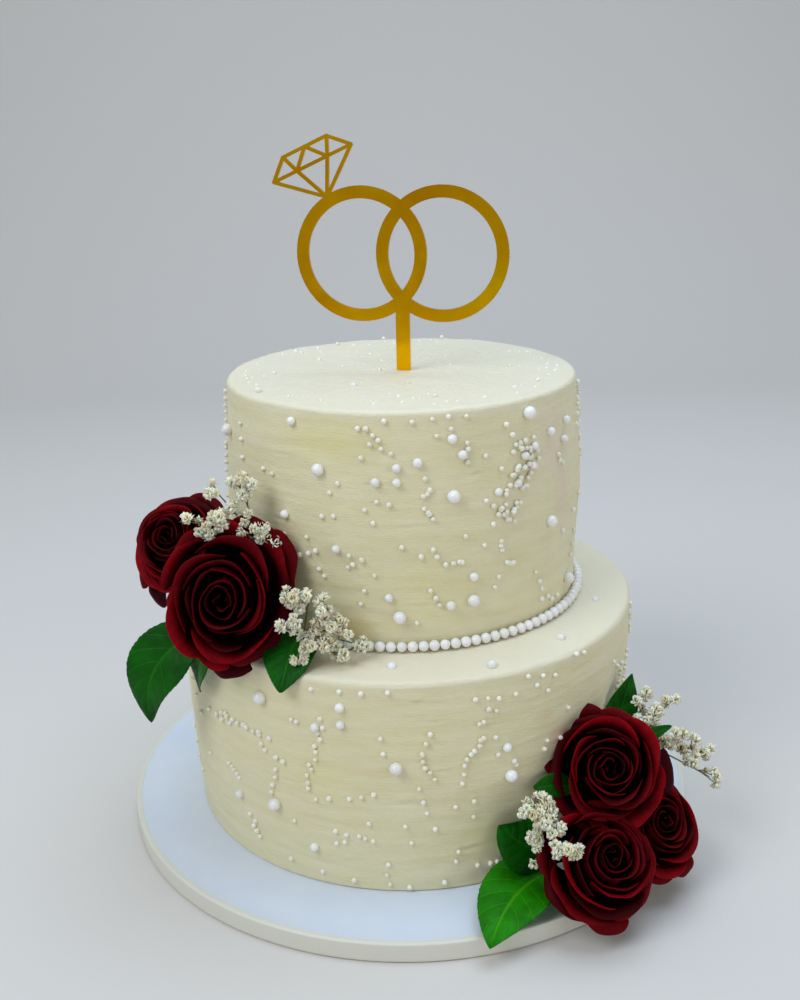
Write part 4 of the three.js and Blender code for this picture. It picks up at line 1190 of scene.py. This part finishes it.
def diamond_lines():
    seat, lean, d = radians(DIAMOND["seat"]), radians(DIAMOND["tilt"]), DIAMOND
    reach = bpy.context.scene.cake_topper_sizes.ring_radius / MM - d["line"] / 2
    foot_x = -TOPPER["ring_spacing"] / 2 - reach * sin(seat)
    foot_y = TOPPER["ring_height"] + reach * cos(seat)

    def at(x, y):
        return foot_x - y * sin(lean) + x * cos(lean), foot_y + y * cos(lean) + x * sin(lean)

    culet = at(0, 0)
    left, right = at(-d["girdle"] / 2, d["pavilion"]), at(d["girdle"] / 2, d["pavilion"])
    inner_left, inner_right = at(-d["facet"], d["pavilion"]), at(d["facet"], d["pavilion"])
    top = d["pavilion"] + d["crown"]
    table = [at(-d["table"] / 2, top), at(0, top), at(d["table"] / 2, top)]
    return [
        (culet, left), (culet, right), (culet, inner_left), (culet, inner_right), (left, right),
        (left, table[0]), (table[0], table[2]), (table[2], right),
        (table[0], inner_left), (inner_left, table[1]), (table[1], inner_right), (inner_right, table[2]),
    ]


# Settings


def length(name, description, default):
    return FloatProperty(name=name, description=description, default=default, unit="LENGTH", precision=5)


def colour(name, description, code):
    value = srgb(code)
    return FloatVectorProperty(name=name, description=description, default=value, size=4, subtype="COLOR")


def power(name, description, default):
    return FloatProperty(name=name, description=description, default=default, unit="POWER")


class CakeBoardSizes(bpy.types.PropertyGroup):
    edge: length("Edge", "Rounding of the board's edges", BOARD["edge"] * MM)
    paper: colour("Paper", "Colour of the board's paper", "#DDE4EE")
    paper_shade: colour("Paper Shade", "Darker tone of the paper", "#D3DCEA")
    strip: colour("Strip", "Colour of the paper strip round the rim", "#DCDACC")


class CakeIcingSizes(bpy.types.PropertyGroup):
    wobble: length("Wobble", "Slow unevenness of the icing", 0.35 * MM)
    band_depth: length("Band Depth", "Depth of the broad scraper bands", 0.16 * MM)
    streak_depth: length("Streak Depth", "Depth of the fine scraper streaks", 0.1 * MM)
    grain_depth: length("Grain Depth", "Depth of the small lumps", 0.07 * MM)
    cream: colour("Cream", "Colour of the buttercream", "#E9E2BF")
    cream_shade: colour("Cream Shade", "Deeper tone of the buttercream", "#E0D7A9")
    # Painted light: the paler, bluer tone painted on the top of each tier for the light from above
    painted_top_light: colour("Painted Top Light", "Paler tone of the icing's top, painted for the light from above", "#E5DDC5")
    seed: FloatProperty(name="Seed", description="Start of the icing's noise", default=3.0)


class CakePearlSizes(bpy.types.PropertyGroup):
    large: length("Large", "Radius of a large pearl", 2.7 * MM)
    middle: length("Middle", "Radius of a middle pearl", 1.9 * MM)
    small: length("Small", "Radius of a small pearl", 1.15 * MM)
    border: length("Border", "Radius of a border pearl", 2.34 * MM)
    border_count: IntProperty(
        name="Border Count", description="Pearls round the upper tier", default=114, min=8
    )
    white: colour("White", "Colour of the large pearls", "#F7F6F4")
    white_shade: colour("White Shade", "Second tone of the large pearls", "#E9E7E0")
    ivory: colour("Ivory", "Colour of the small pearls", "#F6F4E8")
    ivory_shade: colour("Ivory Shade", "Second tone of the small pearls", "#EAE4CC")
    seed: IntProperty(name="Seed", description="Start of the pearls' draws", default=11)


class CakeTopperSizes(bpy.types.PropertyGroup):
    thickness: length("Thickness", "Thickness of the plate", 1.6 * MM)
    ring_radius: length("Ring Radius", "Outer radius of a ring", 30.2 * MM)
    band: length("Band", "Width of a ring's band", 5.6 * MM)
    bevel: length("Bevel", "Rounding of the plate's edges", 0.22 * MM)
    gold: colour("Gold", "Colour of the mirror", "#FFCA07")
    # Painted reflection: the deeper gold of the mirror's painted patches
    gold_painted_reflection: colour("Gold Shade", "Deeper tone of the mirror", "#E29604")


class CakeFlowerSizes(bpy.types.PropertyGroup):
    petal_thickness: length("Petal Thickness", "Thickness of a rose petal", 0.4 * MM)
    floret_radius: length("Floret Radius", "Radius of a gypsophila floret", 2.8 * MM)
    # Painted shade: the petals' dark red, darkened for the shade in the rose's depths
    rose_deep: colour("Rose Deep", "Colour in the rose's depths", "#200105")
    rose_rim: colour("Rose Rim", "Colour of the petals' rims", "#A2000F")
    leaf_bright: colour("Bright Leaf", "Colour of the bright leaves", "#1E8C02")
    leaf_dark: colour("Dark Leaf", "Colour of the dark leaves", "#0A6404")
    floret: colour("Floret", "Colour of the gypsophila", "#FFF6DA")
    floret_shade: colour("Floret Shade", "Dry tone of the gypsophila", "#E6CE98")
    seed: IntProperty(name="Seed", description="Start of the florets' draws", default=4)


class CakeStageSizes(bpy.types.PropertyGroup):
    wall: colour("Wall", "Colour of the floor and wall", "#D6D1CA")
    key_power: power("Key Power", "Power of the main light", 10.6)
    sky_power: power("Sky Power", "Power of the overhead light", 13.2)
    fill_power: power("Fill Power", "Power of the warm side light", 4.3)
    ambient: FloatProperty(
        name="Ambient", description="Strength of the light from all round", default=0.42, min=0
    )


# Operators


class CAKE_OT_board(bpy.types.Operator):
    """Make the paper-covered cake board"""

    bl_idname = "cake.make_board"
    bl_label = "Cake Board"

    def execute(self, context):
        sizes = context.scene.cake_board_sizes
        radius, height, edge = BOARD["radius"] * MM, BOARD["height"] * MM, sizes.edge
        seam, sink = SEAM * MM, SINK * MM
        profile = [(0, 0), (radius * 0.5, 0), (radius - 3 * MM, 0)]
        turns = [pi / 2 * i / 5 for i in range(6)]
        profile += [(radius - edge + edge * sin(a), edge - edge * cos(a)) for a in turns]
        profile += [(radius, lerp(edge, height - edge, i / 6)) for i in range(1, 6)]
        profile += [(radius - edge + edge * cos(a), height - edge + edge * sin(a)) for a in turns]
        profile += [(radius - seam, height), (radius - seam - 0.15 * MM, height - sink)]
        profile += [((radius - seam) * (1 - i / 14), height - sink) for i in range(1, 14)]
        profile.append((0, height - sink))
        made = lathe("cake_board_paper", profile, 288)
        crisp = {"width": 0.04 * MM, "segments": 1, "limit_method": "ANGLE", "angle_limit": radians(30)}
        modify(made, "Crisp", "BEVEL", **crisp)
        settle(made)
        material = board_paper(sizes.paper, sizes.paper_shade, sizes.strip)
        dress(made, material, "board_paper", "cake_board")
        return {"FINISHED"}


class CAKE_OT_tiers(bpy.types.Operator):
    """Make the two iced tiers"""

    bl_idname = "cake.make_tiers"
    bl_label = "Iced Tiers"

    def execute(self, context):
        sizes = context.scene.cake_icing_sizes
        tree = scraped_icing_tree()
        plan = (
            ("lower_tier_icing", LOWER, LOWER_NICKS, "bottom_tier", (520, 130, 12, 6), 0.0),
            ("upper_tier_icing", UPPER, UPPER_NICKS, "top_tier", (420, 130, 10, 50), 40.0),
        )
        for name, tier, nicks, node, (around, rows, crown, flat), step in plan:
            material = buttercream(name + "_buttercream", sizes.cream, sizes.cream_shade, sizes.painted_top_light, tier)
            made = lathe(name, tier_profile(tier, rows, crown, flat), around)
            cut_nicks(made, tier, nicks)
            grow(
                made, tree, Wobble=sizes.wobble, Band_Depth=sizes.band_depth, Streak_Depth=sizes.streak_depth,
                Grain_Depth=sizes.grain_depth, Foot=tier["base"] * MM, Seed=sizes.seed + step,
                Material=material,
            )
            dress(made, material, "buttercream", node)
        return {"FINISHED"}


class CAKE_OT_pearls(bpy.types.Operator):
    """Scatter the sugar pearls over the tiers and set the border of pearls"""

    bl_idname = "cake.make_pearls"
    bl_label = "Sugar Pearls"

    def execute(self, context):
        sizes = context.scene.cake_pearl_sizes
        white = sugar_pearl("sugar_pearl_white", sizes.white, sizes.white_shade)
        ivory = sugar_pearl("sugar_pearl_ivory", sizes.ivory, sizes.ivory_shade)
        tree = scattered_pearls_tree()

        def on_side(tier, radius, front, back):
            return [place_on_side(tier, *place, radius / MM) for place in (*front, *spread(*back))]

        large = on_side(LOWER, sizes.large, LOWER_LARGE, LOWER_BACK["large"])
        large += on_side(UPPER, sizes.large, UPPER_LARGE, UPPER_BACK["large"])
        middle = on_side(LOWER, sizes.middle, LOWER_MIDDLE, LOWER_BACK["middle"])
        middle += on_side(UPPER, sizes.middle, UPPER_MIDDLE, UPPER_BACK["middle"])
        ledge = LOWER["base"] + LOWER["shelf_height"] - 0.6
        middle += [(cos(radians(d)) * r, sin(radians(d)) * r, ledge) for d, r in LEDGE_PEARLS]
        small = []
        for tier, strings, seed in ((LOWER, LOWER_STRINGS, 1500), (UPPER, UPPER_STRINGS, 2500)):
            for place in string_places(strings + back_strings(seed), seed):
                small.append(place_on_side(tier, *place, sizes.small / MM))
        top = UPPER["base"] + UPPER["shelf_height"]
        middle += [(x, y, top + 0.15 * size) for x, y, size in TOP_PEARLS if size > 1.4]
        small += [(x, y, top + 0.15 * size) for x, y, size in TOP_PEARLS if size <= 1.4]
        for i in range(TOP_LUMPS["count"]):
            turn, reach = 2 * pi * draw(4000 + i), TOP_LUMPS["reach"] * draw(4300 + i) ** 0.5
            height = top - TOP_LUMPS["sink"] - TOP_LUMPS["more"] * draw(4600 + i)
            small.append((reach * cos(turn), reach * sin(turn), height))
        for i in range(CLUSTER["pearls"]):
            share, (wide, high) = i / (CLUSTER["pearls"] - 1), CLUSTER["scatter"]
            degrees = lerp(CLUSTER["from"][0], CLUSTER["to"][0], share) + wide * (draw(700 + i) - 0.5) * 2
            height = lerp(CLUSTER["from"][1], CLUSTER["to"][1], share) + high * (draw(800 + i) - 0.5) * 2
            proud = 1 + 1.1 * draw(900 + i)
            small.append(place_on_side(UPPER, degrees, height, sizes.small / MM * proud))
        kinds = (
            ("pearls_large", large, sizes.large, white, 3, 0.04),
            ("pearls_middle", middle, sizes.middle, white, 3, 0.1),
            ("pearls_small", small, sizes.small, ivory, 2, 0.12),
        )
        for name, places, radius, material, fineness, unevenness in kinds:
            made = mesh_object(name, np.array(places) * MM, [])
            grow(
                made, tree, Radius=radius, Unevenness=unevenness, Seed=sizes.seed, Fineness=fineness,
                Material=material,
            )
            dress(made, material, "sugar_pearl")
        made = mesh_object("border_pearls", [(0, 0, 0)], [])
        radius = sizes.border
        grow(
            made, pearl_border_tree(), Pearls=sizes.border_count, Pearl_Radius=radius, Seed=sizes.seed,
            Ring_Radius=(UPPER["foot"] + GAP) * MM + radius, Height=(UPPER["base"] + GAP) * MM + radius,
            Material=white,
        )
        dress(made, white, "sugar_pearl", "pearl_border")
        return {"FINISHED"}


class CAKE_OT_topper(bpy.types.Operator):
    """Make the flat gold topper: two linked rings with an outlined diamond, on a stick"""

    bl_idname = "cake.make_topper"
    bl_label = "Rings Topper"

    def execute(self, context):
        sizes = context.scene.cake_topper_sizes
        depth, radius, band = sizes.thickness / MM, sizes.ring_radius / MM, sizes.band / MM
        steps = 120

        def part(name, outline, hole=()):
            points, faces = plate(outline, list(hole), depth)
            made = mesh_object(name, np.array(points) * MM, faces, smooth=False)
            return faced_outwards(made)

        def circle(x, r):
            turns = [2 * pi * (i + 0.5) / steps for i in range(steps)]
            return [(x + r * cos(a), TOPPER["ring_height"] + r * sin(a)) for a in turns]

        half = TOPPER["ring_spacing"] / 2
        main = part("rings_topper", circle(-half, radius), circle(-half, radius - band))
        others = [part("topper_ring", circle(half, radius), circle(half, radius - band))]
        for i, (start, end) in enumerate(diamond_lines()):
            others.append(part(f"topper_line_{i}", plate_bar(start, end, DIAMOND["line"])))
        foot = (0, TOPPER["foot"] - TOPPER["stake_depth"])
        head = (0, TOPPER["ring_height"] - radius * 0.7)
        others.append(part("topper_stick", plate_bar(foot, head, TOPPER["stick_width"])))
        for other in others:
            modify(main, "Join", "BOOLEAN", operation="UNION", solver="EXACT", object=other)
        settle(main)
        for other in others:
            bpy.data.objects.remove(other)
        edge = {"width": sizes.bevel, "segments": 2, "limit_method": "ANGLE", "angle_limit": radians(50)}
        modify(main, "Edge", "BEVEL", **edge)
        settle(main)
        turn = Matrix.Rotation(radians(TOPPER["turn"]), 4, "Z")
        turn.translation = Vector((*TOPPER["centre"], 0)) * MM
        main.data.transform(turn)
        main.data.polygons.foreach_set("use_smooth", [False] * len(main.data.polygons))
        dress(main, gold_mirror(sizes.gold, sizes.gold_painted_reflection), "gold_mirror", "cake_topper")
        return {"FINISHED"}


class CAKE_OT_roses(bpy.types.Operator):
    """Make the five dark red roses, each with its calyx and stem"""

    bl_idname = "cake.make_roses"
    bl_label = "Roses"

    def execute(self, context):
        sizes = context.scene.cake_flower_sizes
        velvet = rose_velvet(sizes.rose_deep, sizes.rose_rim)
        green = stalk_green("rose_calyx_green", srgb("#4E7A2C"), srgb("#2C5318"))
        for n, (name, rose) in enumerate(ROSES.items()):
            matrix = rose_frame(rose)
            grids = [petal_sheet(rose, k) for k in range(PETAL["count"])]
            guards = range(PETAL["guards"])
            guards = tuple((40 + 360 * i / PETAL["guards"], PETAL["guard_open"], 1) for i in guards)
            outer = LOOSE[name] + guards
            grids += [petal_sheet(rose, PETAL["count"] + i, loose) for i, loose in enumerate(outer)]
            petals = sheet_object(name + "_petals", grids, matrix, sizes.petal_thickness / MM, 1)
            dress(petals, velvet, "rose_petal", name)
            sepals = [sepal_grid(rose, d + 14 * (draw(n + d) - 0.5), n + d) for d in CALYX["sepals"]]
            calyx = sheet_object(name + "_calyx", sepals, matrix, 0.5, 1)
            heap = Heap()
            head, wide = rose["depth"], rose["radius"]
            depth, radius, stem = CALYX["depth"], CALYX["radius"], CALYX["stem"]
            heights = (0.1 * head, 0.03 * head, -depth * 0.4, -depth, -depth - 1, -(ROOT * head + depth))
            radii = (0.32 * wide, 0.28 * wide, radius, radius * 0.72, stem * 1.15, stem)
            points, faces = tube([(0, 0, z) for z in heights], radii, 16)
            heap.add(moved(points, matrix), faces)
            cup = heap.object(name + "_stem")
            dress(calyx, green, "rose_leaf")
            dress(cup, green, "rose_leaf")
        return {"FINISHED"}


class CAKE_OT_leaves(bpy.types.Operator):
    """Make the rose leaves"""

    bl_idname = "cake.make_leaves"
    bl_label = "Leaves"

    def execute(self, context):
        sizes = context.scene.cake_flower_sizes
        bright = leaf_green("rose_leaf_bright", sizes.leaf_bright, srgb("#0F5E02"), srgb("#5CA81E"), 0.02)
        dark = leaf_green("rose_leaf_dark", sizes.leaf_dark, srgb("#063A02"), srgb("#2A7812"), 0.03)
        for seed, (name, leaf) in enumerate(LEAVES.items()):
            front, back, uv = leaf_grids(*leaf, seed)
            points, faces = closed_sheet(front, back)
            heap = Heap()
            heap.add(points, faces, np.concatenate([uv.reshape(-1, 2)] * 2))
            made = heap.object(name + "_blade")
            dress(made, bright if name in BRIGHT_LEAVES else dark, "rose_leaf", name)
        return {"FINISHED"}


class CAKE_OT_gypsophila(bpy.types.Operator):
    """Make the gypsophila: thin branching twigs with crumpled florets"""

    bl_idname = "cake.make_gypsophila"
    bl_label = "Gypsophila"

    def execute(self, context):
        sizes = context.scene.cake_flower_sizes
        cream = gypsophila_cream(sizes.floret, sizes.floret_shade)
        green = stalk_green("gypsophila_stalk", srgb("#8A7A45"), srgb("#55602C"))
        tree = gypsophila_tree()
        shapes = bpy.data.collections.new("floret_shapes")
        for n in range(FLORET["shapes"]):
            shape = crumpled_floret(n)
            bpy.context.scene.collection.objects.unlink(shape)
            shapes.objects.link(shape)
        for b, (name, (foot, twigs)) in enumerate(BUNCHES.items()):
            heads, facings, scales = [], [], []
            stalks = Heap()
            start = Vector(foot)
            ends = [Vector(twig) for twig in twigs]
            for i, end in enumerate(ends):
                seed = 100 * b + i
                sag = Vector((draw(seed) - 0.5, draw(seed + 9) - 0.5, 0.6)) * TWIG["sag"]
                bend = (start + end) / 2 + sag * (end - start).length
                path = bow(start, bend, end, TWIG["steps"])
                radii = np.linspace(TWIG["foot"], TWIG["tip"], TWIG["steps"])
                stalks.add(*tube(path, radii, TWIG["sides"]))
                tufts = [(end, path[-2], FLORET["per_twig"], 1.0)]
                for j in range(FLORET["side_twigs"]):
                    share = 0.5 + 0.28 * draw(seed + 31 + j)
                    fork = start.lerp(bend, share).lerp(bend.lerp(end, share), share)
                    aside, rise = draw(seed + 41 + j) - 0.5, draw(seed + 51 + j) - 0.2
                    away = Vector((aside, -0.35 * draw(seed + 47 + j), rise))
                    tufts.append((fork + away.normalized() * (3.5 + 3.5 * draw(seed + 61 + j)), fork, 2, 0.8))
                for m, (tip, fork, count, share) in enumerate(tufts):
                    for j in range(count):
                        n = 1000 * (b + 1) + i * 30 + m * 10 + j
                        turn = 2 * pi * (j / count + draw(n))
                        out = Vector((cos(turn), sin(turn), draw(n + 3) * 2 - 1)).normalized()
                        head = tip + out * FLORET["spread"] * share * (0.6 + 0.5 * draw(n + 5))
                        knee = (fork + head) / 2 + Vector((0, 0, 0.5))
                        path_out = bow(fork, knee, head, len(TWIG["stalk"]))
                        stalks.add(*tube(path_out, TWIG["stalk"], TWIG["sides"]))
                        heads.append(head)
                        facings.append((out + Vector((0, -0.5, 0.3))).normalized())
                        scales.append((0.68 if j % 3 == 2 else 0.88) + 0.3 * draw(n + 7))
            made = mesh_object(name + "_florets", np.array(heads) * MM, [])
            facing = made.data.attributes.new("facing", "FLOAT_VECTOR", "POINT")
            facing.data.foreach_set("vector", np.array(facings).ravel())
            size = made.data.attributes.new("size", "FLOAT", "POINT")
            size.data.foreach_set("value", scales)
            grow(made, tree, Florets=shapes, Radius=sizes.floret_radius, Seed=sizes.seed + b, Material=cream)
            dress(made, cream, "gypsophila_floret", name)
            dress(stalks.object(name + "_stalks"), green, "rose_leaf")
        for shape in list(shapes.objects):
            bpy.data.objects.remove(shape)
        bpy.data.collections.remove(shapes)
        return {"FINISHED"}


class CAKE_OT_stage(bpy.types.Operator):
    """Make the floor and wall, the lights and the camera"""

    bl_idname = "cake.make_stage"
    bl_label = "Stage"

    def execute(self, context):
        scene, sizes = context.scene, context.scene.cake_stage_sizes
        wide, near, far, bend, tall = 4.0, -2.0, 1.5, 0.6, 3.0
        line = [(near, 0.0), (far - bend, 0.0)]
        line += [(far - bend + bend * sin(a), bend - bend * cos(a)) for a in np.linspace(0, pi / 2, 24)[1:]]
        line.append((far, tall))
        points = [(x, y, z - 0.0003) for y, z in line for x in (-wide, wide)]
        faces = [(2 * i, 2 * i + 1, 2 * i + 3, 2 * i + 2) for i in range(len(line) - 1)]
        sweep = mesh_object("studio_sweep", points, faces)
        sweep.data.materials.append(studio_wall(sizes.wall, sizes.wall))
        for name, place, aim, size, setting, tone in LIGHTS:
            light = bpy.data.lights.new(name, "AREA")
            light.shape, light.size, light.color = "DISK", size, tone
            light.energy = getattr(sizes, setting)
            lamp = bpy.data.objects.new(name, light)
            lamp.location = place
            lamp.rotation_euler = (Vector(aim) - Vector(place)).to_track_quat("-Z", "Y").to_euler()
            scene.collection.objects.link(lamp)
        world = bpy.data.worlds.new("studio_air")
        world.use_nodes = True
        air = world.node_tree.nodes["Background"].inputs
        air["Color"].default_value, air["Strength"].default_value = AIR_TONE, sizes.ambient
        scene.world = world
        scene.view_settings.view_transform = "Standard"
        scene.view_settings.look = "None"

        pitch, yaw, roll = (radians(CAMERA[turn]) for turn in ("pitch", "yaw", "roll"))
        level = Vector((-sin(yaw), cos(yaw), 0))
        ahead = level * cos(pitch) - Vector((0, 0, 1)) * sin(pitch)
        right = Vector((cos(yaw), sin(yaw), 0))
        up = right.cross(ahead)
        tilted_right = right * cos(roll) + up * sin(roll)
        tilted_up = up * cos(roll) - right * sin(roll)
        camera = bpy.data.objects.new("camera", bpy.data.cameras.new("camera"))
        camera.data.lens, camera.data.sensor_width, camera.data.sensor_fit = CAMERA["lens"], 36, "AUTO"
        camera.data.clip_start = 0.01
        turned = Matrix((tilted_right, tilted_up, -ahead)).transposed().to_4x4()
        turned.translation = Vector(CAMERA["place"]) * MM
        camera.matrix_world = turned
        scene.collection.objects.link(camera)
        scene.camera = camera
        return {"FINISHED"}


class CAKE_PT_panel(bpy.types.Panel):
    """Lists the pieces of the cake"""

    bl_idname = "CAKE_PT_panel"
    bl_label = "Wedding Cake"
    bl_space_type = "VIEW_3D"
    bl_region_type = "UI"
    bl_category = "Cake"

    def draw(self, context):
        for operator in OPERATORS:
            self.layout.operator(operator.bl_idname)
        for name in SETTINGS:
            group = getattr(context.scene, name)
            box = self.layout.box()
            for key in group.__annotations__:
                box.prop(group, key)


SETTINGS = {
    "cake_board_sizes": CakeBoardSizes,
    "cake_icing_sizes": CakeIcingSizes,
    "cake_pearl_sizes": CakePearlSizes,
    "cake_topper_sizes": CakeTopperSizes,
    "cake_flower_sizes": CakeFlowerSizes,
    "cake_stage_sizes": CakeStageSizes,
}
OPERATORS = (
    CAKE_OT_board, CAKE_OT_tiers, CAKE_OT_pearls, CAKE_OT_topper, CAKE_OT_roses, CAKE_OT_leaves,
    CAKE_OT_gypsophila, CAKE_OT_stage,
)


def register():
    for cls in (*SETTINGS.values(), *OPERATORS, CAKE_PT_panel):
        bpy.utils.register_class(cls)
    for name, group in SETTINGS.items():
        setattr(bpy.types.Scene, name, PointerProperty(type=group))


def unregister():
    for name in SETTINGS:
        delattr(bpy.types.Scene, name)
    for cls in reversed((*SETTINGS.values(), *OPERATORS, CAKE_PT_panel)):
        bpy.utils.unregister_class(cls)


def main():
    register()
    for make_group in (mottle_group, relief_group, soft_patch_group, leaf_group, petal_group):
        make_group()
    bpy.ops.cake.make_board()
    bpy.ops.cake.make_tiers()
    bpy.ops.cake.make_pearls()
    bpy.ops.cake.make_topper()
    bpy.ops.cake.make_roses()
    bpy.ops.cake.make_leaves()
    bpy.ops.cake.make_gypsophila()
    bpy.ops.cake.make_stage()
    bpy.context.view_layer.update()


if __name__ == "__main__":
    main()
